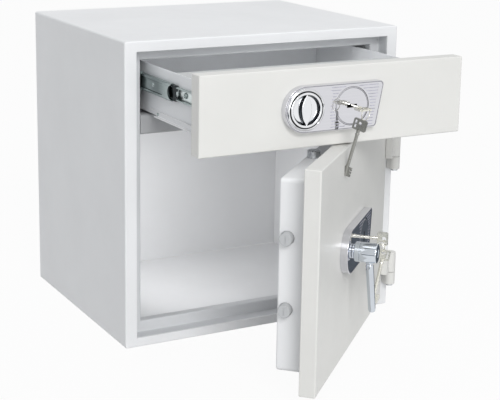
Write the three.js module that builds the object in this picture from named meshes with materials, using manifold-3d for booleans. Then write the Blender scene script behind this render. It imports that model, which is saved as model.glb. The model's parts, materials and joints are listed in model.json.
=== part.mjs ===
import * as THREE from "three";
import { mergeVertices } from "three/addons/utils/BufferGeometryUtils.js";
import Module from "manifold-3d";

const wasm = await Module();
wasm.setup();

// Drop safe with a deposit drawer above a hinged door. Millimetres, +Z up, front faces -Y.
// The origin is the centre of the underside of the body.

// Driving dimensions of the body
const WIDTH = 506;
const DEPTH = 404;
const HEIGHT = 500;
const WALL = 4;
const GAP = 0.3;
const FRONT = -DEPTH / 2;
const BACK = DEPTH / 2;

// Front flange and the rebate that the two fronts close into
const FLANGE_SIDE = 20.4;
const FLANGE_TOP = 17;
const FLANGE_BOTTOM = 15.5;
const FRONT_THICKNESS = 25;
const REBATE_DEPTH = FRONT_THICKNESS + 0.5;
const LEDGE_SIDE = 17.6;
const LEDGE_TOP = 17;
const LEDGE_BOTTOM = 18.5;
const FRAME_SHEET = 2.5;
const LIP_DEPTH = 13.5;
const OPEN_X = WIDTH / 2 - FLANGE_SIDE;
const OPEN_LOW = FLANGE_BOTTOM;
const OPEN_HIGH = HEIGHT - FLANGE_TOP;
const LEDGE_X = OPEN_X - LEDGE_SIDE;
const LEDGE_LOW = OPEN_LOW + LEDGE_BOTTOM;
const LEDGE_HIGH = OPEN_HIGH - LEDGE_TOP;
const LEDGE_FRONT = FRONT + REBATE_DEPTH;

// Cross member and shelf between the drawer space and the vault, placed from the top
const DRAWER_SPACE = 105;
const CROSS_HEIGHT = 32;
const CROSS_HIGH = OPEN_HIGH - DRAWER_SPACE;
const CROSS_LOW = CROSS_HIGH - CROSS_HEIGHT;
const CROSS_DEPTH = 20;
const SHELF_TOP = CROSS_HIGH - 5;
const SHELF_SHEET = 2;
const DROP_MARGIN = 42;
const DROP_LENGTH = 70;
const DROP_SETBACK = 37;
const DROP_BACK = BACK - DROP_SETBACK;
const DROP_FRONT = DROP_BACK - DROP_LENGTH;

// Door and drawer fronts
const FRONT_CLEARANCE = 2.5;
const FRONT_X = OPEN_X - FRONT_CLEARANCE;
const FRONT_PARTING = 1.8;
const DOOR_OVERLAP = 11.5;
const DOOR_LOW = OPEN_LOW + 2;
const DOOR_HIGH = CROSS_LOW + DOOR_OVERLAP;
const DRAWER_LOW = DOOR_HIGH + FRONT_PARTING;
const DRAWER_HIGH = OPEN_HIGH - 3.5;
const SKIN = 4;
const EDGE_SHEET = 3;

// Rest pose: drawer pulled out, door part open
const DRAWER_OUT = 211.5;
const DOOR_OPEN_DEG = 44.2;

// Hinge line
const HINGE_OFFSET = 19.9;
const HINGE_X = FRONT_X + HINGE_OFFSET;
const HINGE_Y = FRONT - 11;
const KNUCKLE_RADIUS = 9.5;
const FIXED_KNUCKLE = 22;
const DOOR_KNUCKLE = 36;
const KNUCKLE_GAP = 0.5;
const HINGE_RISE = 24.5;
const HINGE_DROP = 105.5;
const HINGE_STARTS = { lower: DOOR_LOW + HINGE_RISE, upper: DOOR_HIGH - HINGE_DROP };
const PIN_RADIUS = 4;
const ARM_LENGTH = 27;

// Drawer box and its slides
const SLIDE_SPACE = 13;
const BOX_X = LEDGE_X - SLIDE_SPACE;
const BOX_LOW = CROSS_HIGH + 4;
const BOX_HIGH = LEDGE_HIGH - 6;
const BOX_BACK = BACK - 13;
const BOX_SHEET = 1.5;
const BOX_FRONT = FRONT + FRONT_THICKNESS + GAP;
const LOCK_BAY_DEPTH = 116.2;
const LOCK_BAY_BACK = BOX_FRONT + LOCK_BAY_DEPTH;
const DROP_HALF_WIDTH = BOX_X - DROP_MARGIN;
const SLIDE_RISE = 49;
const SLIDE_Z = BOX_LOW + SLIDE_RISE;
const SLIDE_SETBACK = 36;
const SLIDE_FRONT = FRONT + SLIDE_SETBACK;
const SLIDE_END_SPACE = 22;
const SLIDE_BACK = BACK - SLIDE_END_SPACE;
const SLIDE_LENGTH = SLIDE_BACK - SLIDE_FRONT;
const SLIDE_SHEET = 1.2;
const STRIP_LENGTH = 200;
const CAGE_OVERHANG = 20;
const CAGE_LENGTH = 60;
const MIDDLE_SHARE = 0.5;
const CAGE_SHARE = (1 + MIDDLE_SHARE) / 2;

// Door pan and bolts
const PAN_INSET = 19;
const PAN_X = LEDGE_X - PAN_INSET;
const PAN_LOW = LEDGE_LOW + 5;
const PAN_HIGH = CROSS_LOW - 13;
const PAN_DEPTH = 45;
const PAN_BACK = FRONT + FRONT_THICKNESS + PAN_DEPTH;
const PAN_SHEET = 2;
const PAN_CORNER = 6;
const BOLT_SETBACK = 31.7;
const BOLT_Y = FRONT + FRONT_THICKNESS + BOLT_SETBACK;
const SIDE_BOLT_RADIUS = 10;
const SIDE_BOLT_OUT = 12;
const SIDE_BOLT_IN = 18;
const SIDE_BOLT_INNER = -PAN_X + SIDE_BOLT_IN;
const END_BOLT_RADIUS = 10;
const END_BOLT_X = -54;
const END_BOLT_CLEAR = 1.5;
const END_BOLT_START = 20;
const BOLT_HOLE_CLEARANCE = 0.6;

// Lock plates: measured from the turning handle's axis
const PLATE_HALF_HEIGHT = 35;
const PLATE_TOP_RIGHT = 137;
const PLATE_BOTTOM_RIGHT = 124;
const PLATE_CORNER = 6;
const PLATE_THICKNESS = 12;
const KEY_OFFSET = 80;
const DISC_RADIUS = 29;
const DRAWER_KNOB_X = -61;
const DRAWER_LOCK_Z = (DRAWER_LOW + DRAWER_HIGH) / 2;
const DOOR_HANDLE_X = -66;
const DOOR_LOCK_RISE = 177;
const DOOR_LOCK_Z = DOOR_LOW + DOOR_LOCK_RISE;
const SIDE_BOLT_ABOVE = 50.5;
const SIDE_BOLT_BELOW = 58.5;
const SIDE_BOLT_HEIGHTS = { upper: DOOR_LOCK_Z + SIDE_BOLT_ABOVE, lower: DOOR_LOCK_Z - SIDE_BOLT_BELOW };
const LOCK_CASE = { width: 78, height: 60, depth: 28 };
const LOCK_SLOT = { front: 8, back: 17, low: 8, high: 22, fromBore: 8 };
const LOCK_BOLT_IN = 3.5;
const SPINDLE_HALF = 4;
const SPINDLE_HOLE = 7;
const CAM = { radius: 12, arm: 20, halfArm: 5, thickness: 6 };
const KEY_BORE = 9.5;
const ROTOR = { radius: 15, front: 3, back: 24 };

// Keys
const BOW = { width: 21.5, length: 17.5, thickness: 3, hole: 4, holeToEdge: 6.2, corner: 2.5 };
const SHANK = { radius: 2.5, outside: 21, length: 73 };
const BIT = { width: 16, length: 14, thickness: 3 };
const RING = { radius: 9.5, wire: 1.1 };

const ROUND = 32;
const COLOURS = {
  white: [0xe9ebec, 0.45, 0.0],
  warm: [0xdcdbd8, 0.45, 0.0],
  grey: [0xb9bcc0, 0.5, 0.0],
  zinc: [0x9aa3a3, 0.4, 0.9],
  chrome: [0xc9cdd3, 0.12, 1.0],
  satin: [0xc3c6cf, 0.3, 0.8],
  steel: [0xa9adb0, 0.3, 1.0],
  black: [0x1b1d1f, 0.5, 0.0],
  nickel: [0xa8a797, 0.3, 1.0],
};

// A mesh with its own material
function piece(name, geometry, look) {
  const [colour, roughness, metalness] = COLOURS[look];
  const material = new THREE.MeshStandardMaterial({ color: colour, roughness, metalness });
  const mesh = new THREE.Mesh(geometry, material);
  mesh.name = name;
  return mesh;
}

// Solid of a geometry, and the geometry of a solid
function solidOf(geometry) {
  const bare = geometry.clone();
  bare.deleteAttribute("normal");
  bare.deleteAttribute("uv");
  const merged = mergeVertices(bare, 1e-4);
  return new wasm.Manifold(new wasm.Mesh({
    numProp: 3,
    vertProperties: new Float32Array(merged.attributes.position.array),
    triVerts: new Uint32Array(merged.index.array),
  }));
}

function geometryOf(solid) {
  const mesh = solid.getMesh();
  const geometry = new THREE.BufferGeometry();
  geometry.setAttribute("position", new THREE.BufferAttribute(new Float32Array(mesh.vertProperties), 3));
  geometry.setIndex(new THREE.BufferAttribute(new Uint32Array(mesh.triVerts), 1));
  geometry.computeVertexNormals();
  return geometry;
}

// A block between two corners
function block(x0, x1, y0, y1, z0, z1) {
  const geometry = new THREE.BoxGeometry(x1 - x0, y1 - y0, z1 - z0);
  geometry.translate((x0 + x1) / 2, (y0 + y1) / 2, (z0 + z1) / 2);
  return solidOf(geometry);
}

// A round bar along x, y or z from one end to the other
function bar(axis, radius, from, to, a, b, sides = ROUND) {
  const geometry = new THREE.CylinderGeometry(radius, radius, to - from, sides);
  const middle = (from + to) / 2;
  if (axis === "x") {
    geometry.rotateZ(-Math.PI / 2);
    geometry.translate(middle, a, b);
  } else if (axis === "y") {
    geometry.translate(a, middle, b);
  } else {
    geometry.rotateX(Math.PI / 2);
    geometry.translate(a, b, middle);
  }
  return solidOf(geometry);
}

// An outline in x and z, given thickness along y from y0 to y1
function slabXZ(shape, y0, y1, curve = 12) {
  const geometry = new THREE.ExtrudeGeometry(shape, {
    depth: y1 - y0, bevelEnabled: false, curveSegments: curve,
  });
  geometry.rotateX(Math.PI / 2);
  geometry.translate(0, y1, 0);
  return solidOf(geometry);
}

// An outline in y and z, given thickness along x from x0 to x1
function slabYZ(shape, x0, x1, curve = 12) {
  const geometry = new THREE.ExtrudeGeometry(shape, {
    depth: x1 - x0, bevelEnabled: false, curveSegments: curve,
  });
  geometry.rotateX(Math.PI / 2);
  geometry.rotateZ(Math.PI / 2);
  geometry.translate(x0, 0, 0);
  return solidOf(geometry);
}

function outline(points) {
  return new THREE.Shape(points.map(([a, b]) => new THREE.Vector2(a, b)));
}

function roundedRectangle(x0, x1, z0, z1, r) {
  const shape = new THREE.Shape();
  shape.moveTo(x0 + r, z0);
  shape.lineTo(x1 - r, z0);
  shape.absarc(x1 - r, z0 + r, r, -Math.PI / 2, 0, false);
  shape.lineTo(x1, z1 - r);
  shape.absarc(x1 - r, z1 - r, r, 0, Math.PI / 2, false);
  shape.lineTo(x0 + r, z1);
  shape.absarc(x0 + r, z1 - r, r, Math.PI / 2, Math.PI, false);
  shape.lineTo(x0, z0 + r);
  shape.absarc(x0 + r, z0 + r, r, Math.PI, 1.5 * Math.PI, false);
  return shape;
}

// Body

function bodyShell() {
  const half = WIDTH / 2;
  return block(-half, half, FRONT, BACK, 0, HEIGHT)
    .subtract(block(-half + WALL, half - WALL, FRONT + WALL, BACK + 1, WALL, HEIGHT - WALL))
    .subtract(block(-OPEN_X, OPEN_X, FRONT - 1, FRONT + WALL + 1, OPEN_LOW, OPEN_HIGH));
}

function backPanel() {
  const x = WIDTH / 2 - WALL - GAP;
  return block(-x, x, BACK - 3, BACK, WALL + GAP, HEIGHT - WALL - GAP);
}

// Folded frame behind the flange: rebate wall, ledge and turned-back lip
function doorFrame() {
  const s = FRAME_SHEET;
  const lipBack = LEDGE_FRONT + s + LIP_DEPTH;
  const rebate = block(
    -OPEN_X - s, OPEN_X + s, FRONT + WALL + GAP, LEDGE_FRONT + s, OPEN_LOW - s, OPEN_HIGH + s);
  const lip = block(
    -LEDGE_X - s, LEDGE_X + s, LEDGE_FRONT, lipBack, LEDGE_LOW - s, LEDGE_HIGH + s);
  return rebate.add(lip)
    .subtract(block(-OPEN_X, OPEN_X, FRONT, LEDGE_FRONT, OPEN_LOW, OPEN_HIGH))
    .subtract(block(-LEDGE_X, LEDGE_X, FRONT, lipBack + 1, LEDGE_LOW, LEDGE_HIGH));
}

// Channel that closes the frame between the drawer space and the vault
function crossMember() {
  const x = LEDGE_X - GAP;
  const s = FRAME_SHEET;
  const back = LEDGE_FRONT + CROSS_DEPTH;
  return block(-x, x, LEDGE_FRONT, back, CROSS_LOW, CROSS_HIGH)
    .subtract(block(-x - 1, x + 1, LEDGE_FRONT + s, back + 1, CROSS_LOW + s, CROSS_HIGH - s));
}

function dividerShelf() {
  const x = WIDTH / 2 - WALL - GAP;
  const front = LEDGE_FRONT + CROSS_DEPTH + GAP;
  return block(-x, x, front, BACK - 3 - GAP, SHELF_TOP - SHELF_SHEET, SHELF_TOP)
    .subtract(block(-DROP_HALF_WIDTH, DROP_HALF_WIDTH, DROP_FRONT, DROP_BACK, 0, HEIGHT));
}

const BAFFLE = { sheet: 2, drop: 62, flange: 22, mouth: 10 };

// Bent plate under the drop slot: what falls can pass, a hand or a hook can't come back up
function antiFishingBaffle() {
  const b = BAFFLE;
  const top = SHELF_TOP - SHELF_SHEET - GAP;
  const profile = outline([
    [DROP_FRONT - b.flange, top],
    [DROP_FRONT - b.flange, top - b.sheet],
    [DROP_FRONT - b.sheet, top - b.sheet],
    [DROP_BACK - b.mouth, top - b.drop],
    [DROP_BACK - b.mouth, top - b.drop + 1.3 * b.sheet],
    [DROP_FRONT - b.sheet / 2, top],
  ]);
  return slabYZ(profile, -DROP_HALF_WIDTH, DROP_HALF_WIDTH);
}

// Slide carriers: hat-shaped rails between the side wall and the slide
function slideBracket(side) {
  const wall = WIDTH / 2 - WALL - GAP;
  const inner = LEDGE_X;
  const y0 = SLIDE_FRONT + 8;
  const y1 = SLIDE_BACK - 2;
  const half = CABINET_HALF + 1.9;
  const sheet = 2.2;
  const solid = block(inner, wall, y0, y1, SLIDE_Z - half, SLIDE_Z + half)
    .subtract(block(inner + sheet, wall + 1, y0 - 1, y1 + 1, SLIDE_Z - half + sheet, SLIDE_Z + half - sheet));
  return side < 0 ? mirrored(solid) : solid;
}

function mirrored(solid) {
  return solid.mirror([1, 0, 0]);
}

// A channel section of a slide: web at one side, two lips towards the other
function channel(webX, lipX, halfHeight, y0, y1) {
  const s = SLIDE_SHEET;
  const toward = Math.sign(lipX - webX);
  const x0 = Math.min(webX, lipX);
  const x1 = Math.max(webX, lipX);
  const hollow = toward > 0
    ? block(webX + s, lipX + 1, y0 - 1, y1 + 1, SLIDE_Z - halfHeight + s, SLIDE_Z + halfHeight - s)
    : block(lipX - 1, webX - s, y0 - 1, y1 + 1, SLIDE_Z - halfHeight + s, SLIDE_Z + halfHeight - s);
  return block(x0, x1, y0, y1, SLIDE_Z - halfHeight, SLIDE_Z + halfHeight).subtract(hollow);
}

// The right-hand members: their webs lie between the drawer box and the bracket
const SLIDE_OUTER = LEDGE_X - GAP;
const SLIDE_INNER = BOX_X + GAP;
const MIDDLE_HALF = 13.5;
const MIDDLE_FRONT = SLIDE_FRONT - 6;
const CABINET_HALF = MIDDLE_HALF + 0.4 + SLIDE_SHEET;

function cabinetMember() {
  return channel(SLIDE_OUTER, SLIDE_INNER + 3.7, CABINET_HALF, SLIDE_FRONT, SLIDE_FRONT + SLIDE_LENGTH);
}

function middleMember() {
  const back = MIDDLE_FRONT + SLIDE_LENGTH;
  return channel(SLIDE_OUTER - 3.2, SLIDE_INNER + 1.7, MIDDLE_HALF, MIDDLE_FRONT, back);
}

function drawerMember() {
  return channel(SLIDE_INNER, SLIDE_INNER + 6.2, 10.5, SLIDE_FRONT - 3.5, SLIDE_FRONT - 3.5 + SLIDE_LENGTH);
}

// Plastic ball cage between the middle and drawer members; at rest it looks out of the middle member's front.
// It travels at the mean of their two speeds
function ballCage() {
  const lag = (CAGE_SHARE - MIDDLE_SHARE) * DRAWER_OUT;
  const front = MIDDLE_FRONT - CAGE_OVERHANG + lag;
  const back = front + CAGE_LENGTH;
  const webOut = SLIDE_INNER + 7.7;
  const webIn = SLIDE_INNER + 6.5;
  const armIn = SLIDE_INNER + 0.7;
  return block(armIn, webOut, front, back, SLIDE_Z - 12.1, SLIDE_Z + 12.1)
    .subtract(block(armIn - 1, webIn, front - 1, back + 1, SLIDE_Z - 10.8, SLIDE_Z + 10.8));
}

// Hinge: fixed knuckle on the flange, pin, and the door's knuckle with its arm

function fixedKnuckle(start) {
  const foot = block(
    HINGE_X - KNUCKLE_RADIUS, HINGE_X + KNUCKLE_RADIUS,
    HINGE_Y, FRONT - GAP, start, start + FIXED_KNUCKLE);
  return bar("z", KNUCKLE_RADIUS, start, start + FIXED_KNUCKLE, HINGE_X, HINGE_Y)
    .add(foot)
    .subtract(bar("z", PIN_RADIUS + GAP, start - 1, start + FIXED_KNUCKLE + 1, HINGE_X, HINGE_Y));
}

function hingePin(start) {
  const top = start + FIXED_KNUCKLE + KNUCKLE_GAP + DOOR_KNUCKLE - 6;
  return bar("z", PIN_RADIUS, start - 3, top, HINGE_X, HINGE_Y)
    .add(bar("z", PIN_RADIUS + 2, start - 3, start - GAP, HINGE_X, HINGE_Y));
}

function doorKnuckle(start) {
  const low = start + FIXED_KNUCKLE + KNUCKLE_GAP;
  const high = low + DOOR_KNUCKLE;
  const arm = block(HINGE_X - ARM_LENGTH, HINGE_X, HINGE_Y - 0.5, FRONT - GAP, low, high);
  return bar("z", KNUCKLE_RADIUS, low, high, HINGE_X, HINGE_Y)
    .add(arm)
    .subtract(bar("z", PIN_RADIUS + GAP, low - 1, high - 5, HINGE_X, HINGE_Y));
}

// Folded front with a skin, four edges and a turned-in rear flange
function foldedFront(low, high, flange) {
  const rear = FRONT + FRONT_THICKNESS;
  const x = FRONT_X;
  const e = EDGE_SHEET;
  return block(-x, x, FRONT, rear, low, high)
    .subtract(block(-x + e, x - e, FRONT + SKIN, rear - e, low + e, high - e))
    .subtract(block(-x + flange, x - flange, FRONT + SKIN, rear + 1, low + flange, high - flange));
}

// Lock plate: round at the handle, slanting at the far end
function plateShape(axisX, axisZ) {
  const h = PLATE_HALF_HEIGHT;
  const r = PLATE_CORNER;
  const slant = Math.atan2(PLATE_TOP_RIGHT - PLATE_BOTTOM_RIGHT, 2 * h);
  const shape = new THREE.Shape();
  const lowX = axisX + PLATE_BOTTOM_RIGHT - r;
  const highX = axisX + PLATE_TOP_RIGHT - r;
  shape.moveTo(axisX, axisZ - h);
  shape.lineTo(lowX - r, axisZ - h);
  shape.absarc(lowX - r, axisZ - h + r, r, -Math.PI / 2, -slant, false);
  shape.absarc(highX, axisZ + h - r, r, -slant, Math.PI / 2, false);
  shape.lineTo(axisX, axisZ + h);
  shape.absarc(axisX, axisZ, h, Math.PI / 2, 1.5 * Math.PI, false);
  return shape;
}

function lockPlate(axisX, axisZ) {
  const rear = FRONT - GAP;
  const face = FRONT - PLATE_THICKNESS;
  return slabXZ(plateShape(axisX, axisZ), face, rear, 20)
    .subtract(bar("y", DISC_RADIUS + GAP, face - 1, rear + 1, axisX + KEY_OFFSET, axisZ, 48))
    .subtract(bar("y", SPINDLE_HOLE, face - 1, rear + 1, axisX, axisZ));
}

function keyholeDisc(axisX, axisZ) {
  const x = axisX + KEY_OFFSET;
  const face = FRONT - PLATE_THICKNESS;
  const slot = block(x - 9, x + 9, face - 1, FRONT, axisZ - 1.9, axisZ + 1.9);
  return bar("y", DISC_RADIUS, face, FRONT - GAP, x, axisZ, 48)
    .subtract(slot)
    .subtract(bar("y", SHANK.radius + 0.5, face - 1, FRONT, x, axisZ));
}

function lockCase(axisX, axisZ, rear) {
  const x = axisX + KEY_OFFSET;
  const w = LOCK_CASE.width / 2;
  const h = LOCK_CASE.height / 2;
  return block(x - w, x + w, rear + GAP, rear + LOCK_CASE.depth, axisZ - h, axisZ + h)
    .subtract(bar("y", KEY_BORE, rear - 1, rear + ROTOR.back, x, axisZ))
    .subtract(bar("y", ROTOR.radius + GAP, rear + ROTOR.front - GAP, rear + ROTOR.back + GAP, x, axisZ, 48))
    .subtract(block(
      x - w - 1, x - KEY_BORE - LOCK_SLOT.fromBore, rear + LOCK_SLOT.front, rear + LOCK_SLOT.back,
      axisZ + LOCK_SLOT.low, axisZ + LOCK_SLOT.high));
}

// Bolt of the key lock, in the slot of its case
function lockBolt(axisX, axisZ, rear) {
  const x = axisX + KEY_OFFSET;
  const inner = x - KEY_BORE - LOCK_SLOT.fromBore - LOCK_BOLT_IN;
  return block(x - LOCK_CASE.width / 2 - 1, inner, rear + LOCK_SLOT.front + GAP, rear + LOCK_SLOT.back - GAP,
    axisZ + LOCK_SLOT.low + GAP, axisZ + LOCK_SLOT.high - GAP);
}

// Round rotor in the lock case that the key turns, with a blind slot for the key's bits, level or upright
function lockRotor(axisX, axisZ, rear, upright) {
  const x = axisX + KEY_OFFSET;
  const front = rear + ROTOR.front;
  const clear = 0.4;
  const tip = FRONT - PLATE_THICKNESS - SHANK.outside + SHANK.length;
  const bitHalves = [BIT.width / 2 + clear, BIT.thickness / 2 + clear];
  const [halfWidth, halfHeight] = upright ? bitHalves.reverse() : bitHalves;
  return bar("y", ROTOR.radius, front, rear + ROTOR.back, x, axisZ, 48)
    .subtract(block(
      x - halfWidth, x + halfWidth, front - 1, tip + clear, axisZ - halfHeight, axisZ + halfHeight))
    .subtract(bar("y", SHANK.radius + clear, front - 1, tip + 1 + clear, x, axisZ, 20));
}

// Keys, made with the shank along -Z from the bow at the top; the origin is the hole of the bow
function keySolid() {
  const bowTop = BOW.holeToEdge;
  const bowLow = bowTop - BOW.length;
  const tip = bowLow - SHANK.length;
  const t = BOW.thickness / 2;
  const w = BOW.width / 2;
  const bow = slabXZ(roundedRectangle(-w, w, bowLow, bowTop, BOW.corner), -t, t, 4)
    .subtract(bar("y", BOW.hole, -t - 1, t + 1, 0, 0, 24));
  const bits = block(-BIT.width / 2, BIT.width / 2, -t, t, tip, tip + BIT.length)
    .subtract(block(BIT.width / 2 - 3, BIT.width, -t - 1, t + 1, tip + 4, tip + 6))
    .subtract(block(BIT.width / 2 - 4.5, BIT.width, -t - 1, t + 1, tip + 8.5, tip + 10.5))
    .subtract(block(-BIT.width, -BIT.width / 2 + 4, -t - 1, t + 1, tip + 3, tip + 5))
    .subtract(block(-BIT.width, -BIT.width / 2 + 2.5, -t - 1, t + 1, tip + 8, tip + 10));
  return bow.add(bar("z", SHANK.radius, tip - 1, bowLow + 2, 0, 0, 20)).add(bits);
}

const KEY_HOLE_TO_FACE = BOW.length - BOW.holeToEdge + SHANK.outside;

// Puts a key in its lock, shank along +Y, bow level or upright. The hole of the bow is KEY_HOLE_TO_FACE off
// the plate
function keyInLock(name, x, z, upright) {
  const geometry = geometryOf(keySolid());
  geometry.rotateX(Math.PI / 2);
  if (upright) geometry.rotateY(Math.PI / 2);
  const mesh = piece(name, geometry, "nickel");
  mesh.position.set(x, FRONT - PLATE_THICKNESS - KEY_HOLE_TO_FACE, z);
  return mesh;
}

// Split ring through the bow of a key in the lock. On a level bow it stands in the YZ plane and hangs
// forwards and down; on an upright bow it stands in the XZ plane and hangs straight down
function keyRing(name, x, z, swing, upright) {
  const geometry = new THREE.TorusGeometry(RING.radius, RING.wire, 10, 32);
  if (upright) {
    geometry.rotateX(Math.PI / 2);
    geometry.translate(0, 0, -RING_HANG);
  } else {
    geometry.rotateY(Math.PI / 2);
    geometry.translate(0, -RING_FORWARD, -RING_DROP);
  }
  const mesh = piece(name, geometryOf(solidOf(geometry)), "nickel");
  mesh.position.set(x, FRONT - PLATE_THICKNESS - KEY_HOLE_TO_FACE, z);
  mesh.rotation.y = swing;
  return mesh;
}

// The ring crosses a level bow once in its hole and once in front of its edge
const RING_FORWARD = 7.8;
const RING_DROP = Math.sqrt(RING.radius ** 2 - RING_FORWARD ** 2);

// The ring crosses an upright bow a little below the middle of its hole
const RING_BELOW_MIDDLE = 2;
const RING_HANG = RING.radius + RING_BELOW_MIDDLE;

// Spare key on the lowest point of an upright key's ring, upright too, its tip leaning towards the door
function spareKey(name, x, z, lean) {
  const geometry = geometryOf(keySolid());
  geometry.rotateZ(Math.PI / 2);
  const mesh = piece(name, geometry, "nickel");
  const reach = RING_HANG + RING.radius + BOW.hole - RING.wire - 0.6;
  mesh.position.set(x, FRONT - PLATE_THICKNESS - KEY_HOLE_TO_FACE, z - reach);
  mesh.rotation.x = lean;
  return mesh;
}

// Drawer, built closed

const DRAWER_FLANGE = 26;

function drawerFront() {
  const x = DRAWER_KNOB_X;
  const z = DRAWER_LOCK_Z;
  return foldedFront(DRAWER_LOW, DRAWER_HIGH, DRAWER_FLANGE)
    .subtract(bar("y", SPINDLE_HOLE, FRONT - 1, FRONT + SKIN + 1, x, z))
    .subtract(bar("y", KEY_BORE, FRONT - 1, FRONT + SKIN + 1, x + KEY_OFFSET, z));
}

function drawerBox() {
  const s = BOX_SHEET;
  const z = DRAWER_LOCK_Z;
  return block(-BOX_X, BOX_X, BOX_FRONT, BOX_BACK, BOX_LOW, BOX_HIGH)
    .subtract(block(-BOX_X + s, BOX_X - s, BOX_FRONT + s, BOX_BACK - s, BOX_LOW + s, BOX_HIGH + 1))
    .subtract(bar("y", SPINDLE_HOLE, BOX_FRONT - 1, BOX_FRONT + s + 1, DRAWER_KNOB_X, z))
    .subtract(bar("y", KEY_BORE, BOX_FRONT - 1, BOX_FRONT + s + 1, DRAWER_KNOB_X + KEY_OFFSET, z))
    .subtract(block(-DROP_HALF_WIDTH, DROP_HALF_WIDTH, DROP_FRONT, DROP_BACK, BOX_LOW - 1, BOX_LOW + s + 1));
}

// Cover over the drawer's lock bay: top plate and rear wall
function drawerLockCover() {
  const s = BOX_SHEET;
  const x = BOX_X - s - GAP;
  const y0 = BOX_FRONT + s + GAP;
  const low = BOX_LOW + s + GAP;
  let solid = block(-x, x, y0, LOCK_BAY_BACK, low, BOX_HIGH)
    .subtract(block(-x - 1, x + 1, y0 - 1, LOCK_BAY_BACK - s, low - 1, BOX_HIGH - s));
  for (const side of [-1, 1]) {
    solid = solid.subtract(bar("z", DRAWER_BOLT.radius + 0.5, BOX_HIGH - 5, BOX_HIGH + 1,
      side * DRAWER_BOLT.x, DRAWER_BOLT.y, 24));
  }
  return solid;
}

const DRAWER_BOLT_INSET = 52;
const DRAWER_BOLT_SETBACK = 28.5;
const DRAWER_BOLT_RISE = 14;
const DRAWER_BOLT = {
  x: BOX_X - DRAWER_BOLT_INSET, y: LEDGE_FRONT + DRAWER_BOLT_SETBACK, radius: 6,
  low: BOX_LOW + DRAWER_BOLT_RISE, top: BOX_HIGH - 0.6,
};

// Bar with two upright bolts that rise behind the top ledge
function drawerBoltBar() {
  const b = DRAWER_BOLT;
  let solid = block(-b.x - 8, b.x + 8, b.y + 8, b.y + 13, b.low, b.low + 10);
  for (const side of [-1, 1]) {
    const x = side * b.x;
    solid = solid.add(block(x - 5, x + 5, b.y, b.y + 9, b.low, b.low + 10))
      .add(bar("z", b.radius, b.low, b.top, x, b.y, 24));
  }
  return solid;
}

function runnerStrip() {
  const x = BOX_X + GAP;
  const y0 = BOX_FRONT;
  const y1 = y0 + STRIP_LENGTH;
  return block(x, x + 6, y0, y1, BOX_LOW - 1, BOX_LOW + 9)
    .subtract(block(x + 1.5, x + 7, y0 - 1, y1 + 1, BOX_LOW + 0.5, BOX_LOW + 10))
    .subtract(block(x - 1, x + 10, y1 - 12, y1 + 1, BOX_LOW + 4, BOX_LOW + 10));
}

const KNOB = {
  collar: 31, collarInner: 27, collarHeight: 6.5,
  radius: 26.2, rim: 22.8, floor: 1.6, height: 7.5, gripHalf: 9, gripRoot: 1,
};

function knobCollar() {
  const face = FRONT - PLATE_THICKNESS - GAP;
  const y0 = face - KNOB.collarHeight;
  return bar("y", KNOB.collar, y0, face, DRAWER_KNOB_X, DRAWER_LOCK_Z, 48)
    .subtract(bar("y", KNOB.collarInner, y0 - 1, face + 1, DRAWER_KNOB_X, DRAWER_LOCK_Z, 48));
}

// Round knob with two finger hollows inside its rim, and a lens-shaped grip left between them
function drawerKnob() {
  const face = FRONT - PLATE_THICKNESS - GAP;
  const half = KNOB.rim + KNOB.gripRoot;
  const bulge = KNOB.gripHalf;
  const arc = (half * half + bulge * bulge) / (2 * bulge);
  const turn = Math.asin(half / arc);
  const lens = new THREE.Shape();
  const x = DRAWER_KNOB_X;
  const z = DRAWER_LOCK_Z;
  lens.absarc(x - arc + bulge, z, arc, -turn, turn, false);
  lens.absarc(x + arc - bulge, z, arc, Math.PI - turn, Math.PI + turn, false);
  const hollows = bar("y", KNOB.rim, face - KNOB.height - 1, face - KNOB.floor, x, z, 48)
    .subtract(slabXZ(lens, face - KNOB.height - 2, face, 10));
  return bar("y", KNOB.radius, face - KNOB.height, face, x, z, 48).subtract(hollows);
}

function drawerSpindle() {
  const h = SPINDLE_HALF;
  return block(DRAWER_KNOB_X - h, DRAWER_KNOB_X + h, FRONT - PLATE_THICKNESS, BOX_FRONT + 14,
    DRAWER_LOCK_Z - h, DRAWER_LOCK_Z + h);
}

// Disc with one arm, square in the middle, that the spindle turns
function cam(x, z, y0) {
  const hole = SPINDLE_HALF + GAP;
  const y1 = y0 + CAM.thickness;
  return bar("y", CAM.radius, y0, y1, x, z)
    .add(block(x - CAM.halfArm, x + CAM.halfArm, y0, y1, z - CAM.arm, z))
    .subtract(block(x - hole, x + hole, y0 - 1, y1 + 1, z - hole, z + hole));
}

// Door, built closed

const DOOR_FLANGE = 40;

function doorSlab() {
  return foldedFront(DOOR_LOW, DOOR_HIGH, DOOR_FLANGE)
    .subtract(bar("y", SPINDLE_HOLE, FRONT - 1, FRONT + SKIN + 1, DOOR_HANDLE_X, DOOR_LOCK_Z))
    .subtract(bar("y", KEY_BORE, FRONT - 1, FRONT + SKIN + 1, DOOR_HANDLE_X + KEY_OFFSET, DOOR_LOCK_Z));
}

// Plate in the rear opening of the slab that the lock is screwed to
function doorInnerPlate() {
  const rear = FRONT + FRONT_THICKNESS;
  const x = FRONT_X - DOOR_FLANGE - GAP;
  const low = DOOR_LOW + DOOR_FLANGE + GAP;
  const high = DOOR_HIGH - DOOR_FLANGE - GAP;
  return block(-x, x, rear - EDGE_SHEET, rear, low, high)
    .subtract(bar("y", SPINDLE_HOLE, rear - EDGE_SHEET - 1, rear + 1, DOOR_HANDLE_X, DOOR_LOCK_Z))
    .subtract(bar("y", KEY_BORE, rear - EDGE_SHEET - 1, rear + 1, DOOR_HANDLE_X + KEY_OFFSET, DOOR_LOCK_Z));
}

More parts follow.
